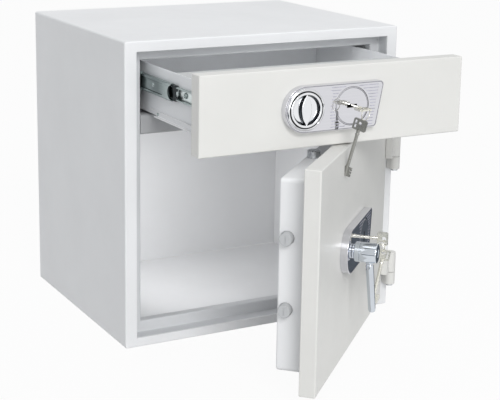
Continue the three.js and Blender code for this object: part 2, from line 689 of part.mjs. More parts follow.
// Pan behind the door that holds the bolt work
function doorPan() {
  const s = PAN_SHEET;
  const y0 = FRONT + FRONT_THICKNESS + GAP;
  const around = roundedRectangle(-PAN_X, PAN_X, PAN_LOW, PAN_HIGH, PAN_CORNER);
  const within = roundedRectangle(-PAN_X + s, PAN_X - s, PAN_LOW + s, PAN_HIGH - s, PAN_CORNER - s);
  const outer = slabXZ(around, y0, PAN_BACK, 4);
  const inner = slabXZ(within, y0 - 1, PAN_BACK - s, 4);
  let solid = outer.subtract(inner);
  const hole = SIDE_BOLT_RADIUS + BOLT_HOLE_CLEARANCE;
  for (const z of Object.values(SIDE_BOLT_HEIGHTS)) {
    solid = solid.subtract(bar("x", hole, -PAN_X - 1, -PAN_X + s + 1, BOLT_Y, z));
  }
  const endHole = END_BOLT_RADIUS + BOLT_HOLE_CLEARANCE;
  solid = solid.subtract(bar("z", endHole, PAN_HIGH - s - 1, PAN_HIGH + 1, END_BOLT_X, BOLT_Y));
  return solid.subtract(bar("z", endHole, PAN_LOW - 1, PAN_LOW + s + 1, END_BOLT_X, BOLT_Y));
}

function sideBolt(z) {
  return bar("x", SIDE_BOLT_RADIUS, -PAN_X - SIDE_BOLT_OUT, SIDE_BOLT_INNER, BOLT_Y, z);
}

const CARRIER = { sheet: 5, margin: 12, beforeHandle: 4, slotNear: 20, slotFar: 50, slotHalf: 35 };

// Plate that carries both side bolts
function boltCarrier() {
  const c = CARRIER;
  const low = SIDE_BOLT_HEIGHTS.lower - c.margin;
  const high = SIDE_BOLT_HEIGHTS.upper + c.margin;
  const half = c.sheet / 2;
  const x0 = SIDE_BOLT_INNER + GAP;
  const x1 = DOOR_HANDLE_X - c.beforeHandle;
  return block(x0, x1, BOLT_Y - half, BOLT_Y + half, low, high)
    .subtract(block(x1 - c.slotFar, x1 - c.slotNear, BOLT_Y - c.sheet, BOLT_Y + c.sheet,
      DOOR_LOCK_Z - c.slotHalf, DOOR_LOCK_Z + c.slotHalf));
}

function topBolt() {
  const low = DOOR_LOCK_Z + END_BOLT_START;
  return bar("z", END_BOLT_RADIUS, low, CROSS_LOW - END_BOLT_CLEAR, END_BOLT_X, BOLT_Y, 24);
}

function bottomBolt() {
  const high = DOOR_LOCK_Z - END_BOLT_START;
  return bar("z", END_BOLT_RADIUS, LEDGE_LOW + END_BOLT_CLEAR, high, END_BOLT_X, BOLT_Y, 24);
}

const HUB = { radius: 15.5, length: 39, neck: 11, neckLength: 3.5, leverAt: 25 };
const LEVER = { radius: 6.2, length: 95, above: 6.5, leanDeg: 5 };

// Round bar through the handle's axis, its lower end leaning away from the door
function leverBar(radius, below, above) {
  return bar("z", radius, -below, above, 0, 0)
    .rotate([-LEVER.leanDeg, 0, 0])
    .translate([DOOR_HANDLE_X, FRONT - PLATE_THICKNESS - GAP - HUB.leverAt, DOOR_LOCK_Z]);
}

// Hub of the door handle, standing off the plate on a neck, cross-drilled for the lever
function handleHub() {
  const face = FRONT - PLATE_THICKNESS - GAP;
  const x = DOOR_HANDLE_X;
  const z = DOOR_LOCK_Z;
  return bar("y", HUB.radius, face - HUB.length, face - HUB.neckLength, x, z)
    .add(bar("y", HUB.neck, face - HUB.neckLength - 1, face, x, z))
    .subtract(leverBar(LEVER.radius + GAP, 2 * HUB.radius, LEVER.above + 0.5));
}

function handleLever() {
  return leverBar(LEVER.radius, LEVER.length, LEVER.above);
}

function handleSpindle() {
  const rear = FRONT + FRONT_THICKNESS;
  const h = SPINDLE_HALF;
  return block(DOOR_HANDLE_X - h, DOOR_HANDLE_X + h, FRONT - PLATE_THICKNESS, rear + 18,
    DOOR_LOCK_Z - h, DOOR_LOCK_Z + h);
}

// The whole safe

function group(name) {
  const made = new THREE.Group();
  made.name = name;
  return made;
}

function buildBody() {
  const body = group("body_parts");
  const add = (name, solid, look) => body.add(piece(name, geometryOf(solid), look));
  add("body_shell", bodyShell(), "white");
  add("back_panel", backPanel(), "white");
  add("door_frame", doorFrame(), "grey");
  add("cross_member", crossMember(), "grey");
  add("divider_shelf", dividerShelf(), "grey");
  add("anti_fishing_baffle", antiFishingBaffle(), "grey");
  add("slide_bracket_right", slideBracket(1), "grey");
  add("slide_bracket_left", slideBracket(-1), "grey");
  add("slide_cabinet_right", cabinetMember(), "zinc");
  add("slide_cabinet_left", mirrored(cabinetMember()), "zinc");
  for (const [place, start] of Object.entries(HINGE_STARTS)) {
    add(`hinge_fixed_${place}`, fixedKnuckle(start), "warm");
    add(`hinge_pin_${place}`, hingePin(start), "steel");
  }
  return body;
}

// The middle members travel half as far as the drawer, the ball cages three quarters as far
function buildSlidePair(name, solid, look, share) {
  const pair = group(`${name}_pair`);
  pair.add(piece(`${name}_right`, geometryOf(solid), look));
  pair.add(piece(`${name}_left`, geometryOf(mirrored(solid)), look));
  pair.position.y = -DRAWER_OUT * share;
  return pair;
}

function buildDrawer() {
  const drawer = group("drawer_parts");
  const add = (name, solid, look) => drawer.add(piece(name, geometryOf(solid), look));
  const rear = BOX_FRONT + BOX_SHEET;
  add("drawer_front", drawerFront(), "warm");
  add("drawer_box", drawerBox(), "grey");
  add("drawer_lock_cover", drawerLockCover(), "white");
  add("drawer_slide_right", drawerMember(), "zinc");
  add("drawer_slide_left", mirrored(drawerMember()), "zinc");
  add("drawer_strip_right", runnerStrip(), "white");
  add("drawer_strip_left", mirrored(runnerStrip()), "white");
  add("drawer_lock_plate", lockPlate(DRAWER_KNOB_X, DRAWER_LOCK_Z), "satin");
  add("drawer_keyhole_disc", keyholeDisc(DRAWER_KNOB_X, DRAWER_LOCK_Z), "satin");
  add("drawer_lock_case", lockCase(DRAWER_KNOB_X, DRAWER_LOCK_Z, rear), "zinc");
  add("drawer_lock_bolt", lockBolt(DRAWER_KNOB_X, DRAWER_LOCK_Z, rear), "steel");
  add("drawer_lock_rotor", lockRotor(DRAWER_KNOB_X, DRAWER_LOCK_Z, rear, false), "steel");
  add("drawer_bolt_bar", drawerBoltBar(), "steel");
  add("drawer_knob_collar", knobCollar(), "chrome");
  add("drawer_knob", drawerKnob(), "chrome");
  add("drawer_spindle", drawerSpindle(), "steel");
  add("drawer_cam", cam(DRAWER_KNOB_X, DRAWER_LOCK_Z, rear + 2), "zinc");
  const keyX = DRAWER_KNOB_X + KEY_OFFSET;
  drawer.add(keyInLock("drawer_key", keyX, DRAWER_LOCK_Z, false));
  drawer.add(keyRing("drawer_key_ring", keyX, DRAWER_LOCK_Z, DRAWER_RING_SWING, false));
  drawer.position.y = -DRAWER_OUT;
  return drawer;
}

// Hanging angles: the drawer's ring swings away from the hinge side, the door's spare key leans its tip to
// the door
const DRAWER_RING_SWING = THREE.MathUtils.degToRad(20);
const DOOR_SPARE_LEAN = THREE.MathUtils.degToRad(10);

function buildDoor() {
  const door = group("door_parts");
  const add = (name, solid, look) => door.add(piece(name, geometryOf(solid), look));
  const rear = FRONT + FRONT_THICKNESS;
  add("door_slab", doorSlab(), "warm");
  add("door_inner_plate", doorInnerPlate(), "grey");
  add("door_pan", doorPan(), "white");
  for (const [place, start] of Object.entries(HINGE_STARTS)) {
    add(`hinge_leaf_${place}`, doorKnuckle(start), "warm");
  }
  for (const [place, height] of Object.entries(SIDE_BOLT_HEIGHTS)) {
    add(`side_bolt_${place}`, sideBolt(height), "white");
  }
  add("bolt_carrier", boltCarrier(), "zinc");
  add("top_bolt", topBolt(), "steel");
  add("bottom_bolt", bottomBolt(), "steel");
  add("door_lock_plate", lockPlate(DOOR_HANDLE_X, DOOR_LOCK_Z), "satin");
  add("door_keyhole_disc", keyholeDisc(DOOR_HANDLE_X, DOOR_LOCK_Z), "satin");
  add("door_lock_case", lockCase(DOOR_HANDLE_X, DOOR_LOCK_Z, rear), "zinc");
  add("door_lock_bolt", lockBolt(DOOR_HANDLE_X, DOOR_LOCK_Z, rear), "steel");
  add("door_lock_rotor", lockRotor(DOOR_HANDLE_X, DOOR_LOCK_Z, rear, true), "steel");
  add("handle_hub", handleHub(), "chrome");
  add("handle_lever", handleLever(), "chrome");
  add("handle_spindle", handleSpindle(), "steel");
  add("handle_cam", cam(DOOR_HANDLE_X, DOOR_LOCK_Z, rear + CAM.thickness), "zinc");
  const keyX = DOOR_HANDLE_X + KEY_OFFSET;
  door.add(keyInLock("door_key", keyX, DOOR_LOCK_Z, true));
  door.add(keyRing("door_key_ring", keyX, DOOR_LOCK_Z, 0, true));
  door.add(spareKey("door_spare_key", keyX, DOOR_LOCK_Z, DOOR_SPARE_LEAN));

  // The door swings about the hinge line
  door.position.set(-HINGE_X, -HINGE_Y, 0);
  const swing = group("door_swing");
  swing.add(door);
  swing.position.set(HINGE_X, HINGE_Y, 0);
  swing.rotation.z = THREE.MathUtils.degToRad(DOOR_OPEN_DEG);
  return swing;
}

const safe = group("drop_safe");
safe.add(
  buildBody(),
  buildSlidePair("slide_middle", middleMember(), "zinc", MIDDLE_SHARE),
  buildSlidePair("slide_cage", ballCage(), "black", CAGE_SHARE),
  buildDrawer(),
  buildDoor());

export default safe;
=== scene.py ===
# Looks of a drop safe with a deposit drawer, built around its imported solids.
# Metres, +Z up, the front faces -Y and +X is the hinge side. Pieces are made with the drawer and door shut,
# then put where the rest pose has them: drawer pulled out, door part open.
import json
import math
import random

import bmesh
import bpy
from mathutils import Matrix, Vector


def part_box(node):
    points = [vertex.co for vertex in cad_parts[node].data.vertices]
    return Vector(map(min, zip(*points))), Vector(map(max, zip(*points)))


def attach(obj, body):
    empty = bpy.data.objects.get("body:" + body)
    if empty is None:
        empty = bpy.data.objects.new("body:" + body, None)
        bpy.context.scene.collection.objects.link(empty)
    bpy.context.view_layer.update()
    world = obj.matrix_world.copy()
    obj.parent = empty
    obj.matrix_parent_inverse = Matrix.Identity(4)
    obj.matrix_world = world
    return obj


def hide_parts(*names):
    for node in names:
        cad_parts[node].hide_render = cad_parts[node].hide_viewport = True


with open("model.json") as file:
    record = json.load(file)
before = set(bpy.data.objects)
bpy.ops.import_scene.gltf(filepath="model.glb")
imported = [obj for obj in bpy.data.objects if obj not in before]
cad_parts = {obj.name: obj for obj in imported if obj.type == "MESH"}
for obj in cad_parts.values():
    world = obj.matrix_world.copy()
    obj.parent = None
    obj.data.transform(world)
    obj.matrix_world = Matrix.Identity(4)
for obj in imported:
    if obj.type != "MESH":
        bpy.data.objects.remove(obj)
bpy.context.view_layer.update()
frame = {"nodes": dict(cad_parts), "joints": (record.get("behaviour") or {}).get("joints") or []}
NODES = frame["nodes"]
JOINTS = {joint["name"]: joint for joint in frame["joints"]}

# Where shut pieces go
DRAWER_OUT = -JOINTS["drawer_slide"]["range_m"][0]
MIDDLE_OUT = -JOINTS["middle_slide_left"]["range_m"][0]
CAGE_OUT = -JOINTS["cage_slide_left"]["range_m"][0]
HINGE = Vector((JOINTS["door_swing"]["pos_m"][0], JOINTS["door_swing"]["pos_m"][1], 0))
DOOR_ANGLE = math.radians(-JOINTS["door_swing"]["range_deg"][0])
BODY = Matrix.Identity(4)
DRAWER = Matrix.Translation((0, -DRAWER_OUT, 0))
MIDDLE = Matrix.Translation((0, -MIDDLE_OUT, 0))
CAGE = Matrix.Translation((0, -CAGE_OUT, 0))
DOOR = Matrix.Translation(HINGE) @ Matrix.Rotation(DOOR_ANGLE, 4, "Z") @ Matrix.Translation(-HINGE)
MIRROR = Matrix.Scale(-1, 4, (1, 0, 0))


def shut_box(node, place):
    """Lowest and highest corner of a CAD node with the drawer and the door shut."""
    back = place.inverted()
    points = [back @ v.co for v in NODES[node].data.vertices]
    low = Vector([min(p[i] for p in points) for i in range(3)])
    high = Vector([max(p[i] for p in points) for i in range(3)])
    return low, high


# Driving places, read from the frame
SHELL_LOW, SHELL_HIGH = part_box("body_shell")
FRONT = SHELL_LOW.y
FRAME_LOW, FRAME_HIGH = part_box("door_frame")
FRAME_SHEET = 0.0025
OPEN_X = FRAME_HIGH.x - FRAME_SHEET
OPEN_LOW = FRAME_LOW.z + FRAME_SHEET
OPEN_HIGH = FRAME_HIGH.z - FRAME_SHEET
CROSS_LOW, CROSS_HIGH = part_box("cross_member")
LEDGE_X = CROSS_HIGH.x + 0.0003
LEDGE_FRONT = CROSS_LOW.y
LEDGE_LOW = OPEN_LOW + 0.0185
LEDGE_HIGH = OPEN_HIGH - 0.017
GAP = 0.0003
FINE = 96  # sides of the round pieces that show most
PAST = 0.002  # how far a cutter runs past the sheet that it cuts


# Mesh tools: every one makes a bmesh, or changes the one it is given

def rounded_rectangle(x0, x1, z0, z1, radius, steps=5):
    """Points of a rectangle with round corners, anticlockwise from the lower right corner."""
    points = []
    corners = ((x1, z0, -90), (x1, z1, 0), (x0, z1, 90), (x0, z0, 180))
    for x, z, start in corners:
        cx = x - radius if x == x1 else x + radius
        cz = z - radius if z == z1 else z + radius
        for k in range(steps + 1):
            a = math.radians(start + 90 * k / steps)
            points.append((cx + radius * math.cos(a), cz + radius * math.sin(a)))
    return points


def fillet(points, radii, steps=4, closed=False):
    """A line in a plane with its corners rounded; radii is one number, or one for each point."""
    out = []
    count = len(points)
    for i, point in enumerate(points):
        radius = radii[i] if isinstance(radii, (list, tuple)) else radii
        if radius == 0 or (not closed and i in (0, count - 1)):
            out.append(tuple(point))
            continue
        here = Vector(point)
        u = (Vector(points[i - 1]) - here).normalized()
        v = (Vector(points[(i + 1) % count]) - here).normalized()
        half = u.angle(v) / 2
        reach = radius / math.tan(half)
        centre = here + (u + v).normalized() * (radius / math.sin(half))
        start = here + u * reach - centre
        end = here + v * reach - centre
        turn = start.angle(end)
        for k in range(steps + 1):
            t = k / steps
            spoke = (math.sin((1 - t) * turn) * start + math.sin(t * turn) * end) / math.sin(turn)
            out.append(tuple(centre + spoke))
    return out


def thicken(points, thickness):
    """Closed outline of a sheet of that thickness along a line."""
    sides = ([], [])
    count = len(points)
    for i, point in enumerate(points):
        here = Vector(point)
        before = (here - Vector(points[i - 1])).normalized() if i > 0 else None
        after = (Vector(points[i + 1]) - here).normalized() if i < count - 1 else None
        along = ((before or after) + (after or before)).normalized()
        normal = Vector((-along.y, along.x))
        scale = 1 / max(0.5, along.dot(after or before))
        sides[0].append(tuple(here + normal * thickness / 2 * scale))
        sides[1].append(tuple(here - normal * thickness / 2 * scale))
    return sides[0] + sides[1][::-1]


def upright(outline, y):
    """An outline in (x, z), stood up at that depth."""
    return [(a, y, b) for a, b in outline]


def with_mirror(points, level):
    """Half an outline above a level, then the same below it in reverse."""
    return [(a, level + b) for a, b in points] + [(a, level - b) for a, b in reversed(points)]


def loft(loops, closed=False):
    """A surface through loops that have equally many points; it is capped unless it closes on itself."""
    bm = bmesh.new()
    rows = [[bm.verts.new(point) for point in loop] for loop in loops]
    pairs = list(zip(rows, rows[1:]))
    if closed:
        pairs.append((rows[-1], rows[0]))
    for a, b in pairs:
        for i in range(len(a)):
            j = (i + 1) % len(a)
            bm.faces.new((a[i], a[j], b[j], b[i]))
    if not closed:
        bm.faces.new(rows[0])
        bm.faces.new(rows[-1])
    bmesh.ops.recalc_face_normals(bm, faces=bm.faces)
    return bm


def inset_loops(low, high, profile, corner, tightest, steps=5):
    """Loops round a box, one for each (inset, y) of a profile; the corners get tighter inwards."""
    loops = []
    for inset, y in profile:
        sides = (low.x + inset, high.x - inset, low.z + inset, high.z - inset)
        loops.append(upright(rounded_rectangle(*sides, max(tightest, corner - inset), steps), y))
    return loops


def extrude(outline, axis, start, end):
    """An outline given thickness along x, y or z; it lies in (y, z), (x, z) or (x, y)."""
    if axis == "x":
        loops = [[(at, a, b) for a, b in outline] for at in (start, end)]
    elif axis == "y":
        loops = [upright(outline, at) for at in (start, end)]
    else:
        loops = [[(a, b, at) for a, b in outline] for at in (start, end)]
    return loft(loops)


def block(low, high):
    x0, y0, z0 = low
    x1, y1, z1 = high
    return extrude([(x0, z0), (x1, z0), (x1, z1), (x0, z1)], "y", y0, y1)


def circle(radius, along, centre, axis, sides):
    """Points round a line through centre along x, y or z; a single point where the radius is 0."""
    cx, cy, cz = centre
    points = []
    for k in range(sides if radius > 0 else 1):
        a = radius * math.cos(math.tau * k / sides)
        b = radius * math.sin(math.tau * k / sides)
        spots = {"x": (along, cy + a, cz + b), "y": (cx + a, along, cz + b), "z": (cx + a, cy + b, along)}
        points.append(spots[axis])
    return points


def lathe(profile, centre, axis="y", sides=64):
    """Turns a profile of (radius, place along the axis) into a solid; it starts and ends at radius 0."""
    bm = bmesh.new()
    rows = []
    for radius, along in profile:
        rows.append([bm.verts.new(point) for point in circle(radius, along, centre, axis, sides)])
    for a, b in zip(rows, rows[1:]):
        for i in range(sides):
            j = (i + 1) % sides
            corners = [a[i % len(a)], a[j % len(a)], b[j % len(b)], b[i % len(b)]]
            bm.faces.new(list(dict.fromkeys(corners)))
    bmesh.ops.recalc_face_normals(bm, faces=bm.faces)
    return bm


def turned_bar(axis, radius, start, end, centre, sides=48, chamfer=0.0001):
    """A round bar with slightly rounded ends."""
    step = chamfer * 0.3
    profile = [
        (0, start), (radius - chamfer, start), (radius - step, start + step), (radius, start + chamfer),
        (radius, end - chamfer), (radius - step, end - step), (radius - chamfer, end), (0, end),
    ]
    return lathe(profile, centre, axis, sides)


def ring(inner, outer, start, end, centre, axis="y", edge=0.0008, sides=72):
    """A ring with rounded edges."""
    line = [(inner, start), (outer, start), (outer, end), (inner, end)]
    return turned_ring(fillet(line, edge, 4, closed=True), centre, axis, sides)


def turned_ring(profile, centre, axis="y", sides=72):
    """A closed profile of (radius, place along the axis) turned into a ring."""
    return loft([circle(radius, along, centre, axis, sides) for radius, along in profile], closed=True)


def new_object(name, bm):
    mesh = bpy.data.meshes.new(name)
    bm.to_mesh(mesh)
    bm.free()
    obj = bpy.data.objects.new(name, mesh)
    bpy.context.scene.collection.objects.link(obj)
    return obj


def combine(bm, others, operation="DIFFERENCE"):
    """Cuts the others out of a solid, or joins them to it."""
    target = new_object("temporary", bm)
    tools = [new_object("temporary", other) for other in others]
    for tool in tools:
        change = target.modifiers.new("change", "BOOLEAN")
        change.operation = operation
        change.solver = "EXACT"
        change.object = tool
    bpy.context.view_layer.update()
    mesh = bpy.data.meshes.new_from_object(target.evaluated_get(bpy.context.evaluated_depsgraph_get()))
    result = bmesh.new()
    result.from_mesh(mesh)
    for obj in [target] + tools:
        old = obj.data
        bpy.data.objects.remove(obj)
        bpy.data.meshes.remove(old)
    bpy.data.meshes.remove(mesh)
    bmesh.ops.remove_doubles(result, verts=result.verts, dist=1e-6)
    bmesh.ops.dissolve_limit(result, angle_limit=math.radians(1), verts=result.verts, edges=result.edges)
    return result


def soften(bm, width, steps=2, angle=40):
    """Rounds every edge that is sharper than the angle."""
    limit = math.radians(angle)
    edges = [e for e in bm.edges if len(e.link_faces) == 2 and e.calc_face_angle(0) > limit]
    bmesh.ops.bevel(bm, geom=edges, offset=width, offset_type="OFFSET", segments=steps, profile=0.5,
                    affect="EDGES", clamp_overlap=True)
    return bm


def piece(name, bm, body, materials, place=BODY, replaces=()):
    """Makes the object: puts it where the rest pose has it, on its body, with its material or materials."""
    bm.transform(place)
    bmesh.ops.recalc_face_normals(bm, faces=bm.faces)
    obj = new_object(name, bm)
    for polygon in obj.data.polygons:
        polygon.use_smooth = True
    obj.data.set_sharp_from_angle(angle=math.radians(35))
    for material in materials if isinstance(materials, tuple) else (materials,):
        obj.data.materials.append(material)
    weigh = obj.modifiers.new("even_shading", "WEIGHTED_NORMAL")
    weigh.keep_sharp = True
    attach(obj, body)
    if replaces:
        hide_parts(*replaces)
    return obj


# Materials

def new_material(name):
    material = bpy.data.materials.new(name)
    material.use_nodes = True
    nodes = material.node_tree.nodes
    nodes.clear()
    output = nodes.new("ShaderNodeOutputMaterial")
    shader = nodes.new("ShaderNodeBsdfPrincipled")
    material.node_tree.links.new(shader.outputs["BSDF"], output.inputs["Surface"])
    return material, nodes, material.node_tree.links, shader


def noise_of(nodes, links, scale, detail=3.0, stretch=(1, 1, 1)):
    """Noise in the piece's own coordinates, in cycles per metre."""
    where = nodes.new("ShaderNodeTexCoord")
    mapping = nodes.new("ShaderNodeMapping")
    mapping.inputs["Scale"].default_value = stretch
    texture = nodes.new("ShaderNodeTexNoise")
    texture.inputs["Scale"].default_value = scale
    texture.inputs["Detail"].default_value = detail
    links.new(where.outputs["Object"], mapping.inputs["Vector"])
    links.new(mapping.outputs["Vector"], texture.inputs["Vector"])
    return texture.outputs["Fac"]


def spread(nodes, links, source, low, high):
    """Maps a noise to a range of numbers."""
    map_range = nodes.new("ShaderNodeMapRange")
    map_range.inputs["From Min"].default_value = 0.3
    map_range.inputs["From Max"].default_value = 0.7
    map_range.inputs["To Min"].default_value = low
    map_range.inputs["To Max"].default_value = high
    links.new(source, map_range.inputs["Value"])
    return map_range.outputs["Result"]


def vary_colour(nodes, links, source, dark, light):
    ramp = nodes.new("ShaderNodeValToRGB")
    ramp.color_ramp.elements[0].position = 0.3
    ramp.color_ramp.elements[0].color = (*dark, 1)
    ramp.color_ramp.elements[1].position = 0.7
    ramp.color_ramp.elements[1].color = (*light, 1)
    links.new(source, ramp.inputs["Fac"])
    return ramp.outputs["Color"]


def bump_of(nodes, links, source, distance):
    bump = nodes.new("ShaderNodeBump")
    bump.inputs["Distance"].default_value = distance
    bump.inputs["Strength"].default_value = 1.0
    links.new(source, bump.inputs["Height"])
    return bump.outputs["Normal"]


def shade(colour, share):
    return tuple(min(1, c * share) for c in colour)


def paint(name, colour, roughness=0.42, orange_peel=0.00002):
    """Powder coat: faint cloudiness, uneven gloss and fine orange peel."""
    material, nodes, links, shader = new_material(name)
    cloud = noise_of(nodes, links, 9, 4)
    tone = vary_colour(nodes, links, cloud, shade(colour, 0.975), shade(colour, 1.015))
    links.new(tone, shader.inputs["Base Color"])
    gloss = noise_of(nodes, links, 60, 2)
    links.new(spread(nodes, links, gloss, roughness - 0.04, roughness + 0.05), shader.inputs["Roughness"])
    peel = noise_of(nodes, links, 1100, 1)
    links.new(bump_of(nodes, links, peel, orange_peel), shader.inputs["Normal"])
    shader.inputs["Specular IOR Level"].default_value = 0.45
    return material


def metal(name, colour, roughness, grain=(1, 1, 1), grain_scale=300, uneven=0.04, bump=0.000004,
          streak=0.08):
    """Metal with a grain: the noise is stretched along one direction."""
    material, nodes, links, shader = new_material(name)
    shader.inputs["Metallic"].default_value = 1.0
    streaks = noise_of(nodes, links, grain_scale, 3, grain)
    tone = vary_colour(nodes, links, streaks, shade(colour, 1 - streak), shade(colour, 1 + streak))
    links.new(tone, shader.inputs["Base Color"])
    low = max(0.02, roughness - uneven)
    links.new(spread(nodes, links, streaks, low, roughness + uneven), shader.inputs["Roughness"])
    links.new(bump_of(nodes, links, streaks, bump), shader.inputs["Normal"])
    return material


def plastic(name, colour, roughness=0.5):
    material, nodes, links, shader = new_material(name)
    cloud = noise_of(nodes, links, 120, 3)
    tone = vary_colour(nodes, links, cloud, shade(colour, 0.8), shade(colour, 1.2))
    links.new(tone, shader.inputs["Base Color"])
    links.new(spread(nodes, links, cloud, roughness - 0.06, roughness + 0.06), shader.inputs["Roughness"])
    links.new(bump_of(nodes, links, noise_of(nodes, links, 2500, 1), 0.00003), shader.inputs["Normal"])
    shader.inputs["Specular IOR Level"].default_value = 0.2
    return material


WHITE = paint("white_powder_coat", (0.83, 0.835, 0.845))
WARM = paint("warm_white_powder_coat", (0.735, 0.73, 0.705))
FRAME_PAINT = paint("door_frame_paint", (0.66, 0.67, 0.685), 0.5)
BOLT_PAINT = paint("bolt_paint", (0.50, 0.51, 0.52), 0.5)
GREY = paint("grey_undercoat", (0.44, 0.445, 0.455), 0.5)
INNER = paint("light_grey_paint", (0.84, 0.85, 0.865), 0.5)
COVER = paint("cover_paint", (0.56, 0.57, 0.57), 0.5)
ZINC = metal("zinc_plated_steel", (0.40, 0.46, 0.455), 0.32, (1, 0.08, 1), 500)
# Painted highlight: a lighter copy of the zinc for the drawer members' webs; the rivets of the middle members
# use it too
LIT_ZINC = metal("bright_zinc", (0.66, 0.72, 0.72), 0.30, (1, 0.08, 1), 500)
CHROME = metal("polished_chrome", (0.84, 0.85, 0.87), 0.07, (1, 1, 1), 40, 0.02, 0.000001, 0.02)
# Painted shade: a darker, bluish copy of the chrome for the door handle, standing in for the shaded door face
# that it reflects
SHADED_BLUE_CHROME = metal("blue_chrome", (0.62, 0.66, 0.71), 0.07, (1, 1, 1), 40, 0.02, 0.000001, 0.03)
# Painted shade: a near-black copy of the chrome for the walls of the knob's hollows and the grip's sides,
# where shade and dark reflections fall
SHADED_CHROME = metal("dark_hollow_walls", (0.10, 0.11, 0.12), 0.16, (1, 1, 1), 200, 0.03, 0.000001, 0.1)
PLATE = metal(
    "polished_nickel_plate", (0.69, 0.69, 0.725), 0.05, (0.05, 1, 1), 500, 0.01, 0.0000003, 0.015)
STEEL = metal("turned_steel", (0.62, 0.64, 0.66), 0.28, (1, 1, 0.1), 400)
KEY_METAL = metal("nickel_silver", (0.78, 0.77, 0.70), 0.26, (1, 1, 1), 200)
# A darker copy of the key metal, for the spare key on the drawer's ring
DARKER_KEY_METAL = metal("worn_nickel_silver", (0.34, 0.34, 0.32), 0.30, (1, 1, 1), 600)
BLACK = plastic("black_plastic", (0.018, 0.024, 0.027))
# Painted shade: near black for the seat round the knob and the inside of the keyholes, where shade falls
RECESS_SHADE = plastic("dark_recess", (0.012, 0.012, 0.014), 0.6)
CARD = plastic("slate_card", (0.085, 0.10, 0.12), 0.8)
# Painted shade: a near-black copy of the zinc for the walls of the slides' sunk webs
GROOVE_SHADE_ZINC = metal("dark_zinc_grooves", (0.10, 0.125, 0.125), 0.45)
# Painted shade: darker fills for the floors of the plates' grooves, standing in for the shade in them
OUTLINE_SHADE = plastic("dark_outline", (0.22, 0.22, 0.24), 0.5)
ENGRAVED_SHADE = plastic("grey_engraving", (0.46, 0.455, 0.53), 0.5)

# Solids that keep their own shape and only get a material
KEPT = (
    (WHITE, ["back_panel"]),
    (FRAME_PAINT, ["divider_shelf"]),
    (GREY, ["anti_fishing_baffle", "slide_bracket_right", "slide_bracket_left", "door_inner_plate"]),
    (ZINC, ["slide_cabinet_right", "slide_cabinet_left", "drawer_lock_case", "drawer_cam",
            "door_lock_case", "bolt_carrier", "handle_cam"]),
    (STEEL, ["hinge_pin_lower", "hinge_pin_upper", "drawer_lock_bolt", "drawer_bolt_bar",
             "drawer_spindle", "drawer_lock_rotor", "door_lock_bolt", "door_lock_rotor",
             "handle_spindle", "bottom_bolt"]),
)
for material, nodes in KEPT:
    for node in nodes:
        NODES[node].data.materials.clear()
        NODES[node].data.materials.append(material)


# Body

TIGHT = 0.0006


def swept_frame(profile, outer, inner, corner):
    """A profile run round a rectangle: it says (inset, y), from the outer (x, low, high) to the inner one."""
    loops = []
    width = outer[0] - inner[0]
    for inset, y in profile:
        x, low, high = (a + (b - a) * inset / width for a, b in zip(outer, inner))
        loops.append(upright(rounded_rectangle(-x, x, low, high, max(TIGHT, corner - inset)), y))
    return loft(loops, closed=True)


def build_shell():
    wall = 0.004
    flange = SHELL_HIGH.x - OPEN_X
    line = [
        (0, SHELL_HIGH.y), (0, FRONT), (flange, FRONT), (flange, FRONT + wall),
        (wall, FRONT + wall), (wall, SHELL_HIGH.y),
    ]
    profile = fillet(line, [0.001, 0.003, 0.0009, 0.0004, 0.001, 0.0006], 5, closed=True)
    outer = (SHELL_HIGH.x, SHELL_LOW.z, SHELL_HIGH.z)
    inner = (OPEN_X, OPEN_LOW, OPEN_HIGH)
    bm = swept_frame(profile, outer, inner, 0.0035)
    piece("shell_sheet", bm, "cabinet", WHITE, replaces=["body_shell"])


def build_door_frame():
    """Rebate, ledge and turned-back lip in one folded profile."""
    ledge = OPEN_X - LEDGE_X
    sheet = FRAME_SHEET
    front = FRAME_LOW.y
    back = FRAME_HIGH.y
    line = [
        (0, front), (0, LEDGE_FRONT), (ledge, LEDGE_FRONT), (ledge, back), (ledge - sheet, back),
        (ledge - sheet, LEDGE_FRONT + sheet), (-sheet, LEDGE_FRONT + sheet), (-sheet, front),
    ]
    radii = [0.0004, 0.0018, 0.0026, 0.0008, 0.0008, 0.0006, 0.0036, 0.0004]
    profile = fillet(line, radii, 5, closed=True)
    outer = (OPEN_X, OPEN_LOW, OPEN_HIGH)
    inner = (LEDGE_X, LEDGE_LOW, LEDGE_HIGH)
    bm = swept_frame(profile, outer, inner, 0.001)
    piece("door_frame_fold", bm, "cabinet", FRAME_PAINT, replaces=["door_frame"])


def build_cross_member():
    sheet = 0.0025
    half = sheet / 2
    line = [
        (CROSS_HIGH.y, CROSS_LOW.z + half), (CROSS_LOW.y + half, CROSS_LOW.z + half),
        (CROSS_LOW.y + half, CROSS_HIGH.z - half), (CROSS_HIGH.y, CROSS_HIGH.z - half),
    ]
    outline = thicken(fillet(line, 0.003, 5), sheet)
    bm = extrude(outline, "x", CROSS_LOW.x, CROSS_HIGH.x)
    piece("cross_member_fold", bm, "cabinet", GREY, replaces=["cross_member"])


build_shell()
build_door_frame()
build_cross_member()


# Hinges

PIN_HOLE = 0.0043
HINGE_CAP = 0.005


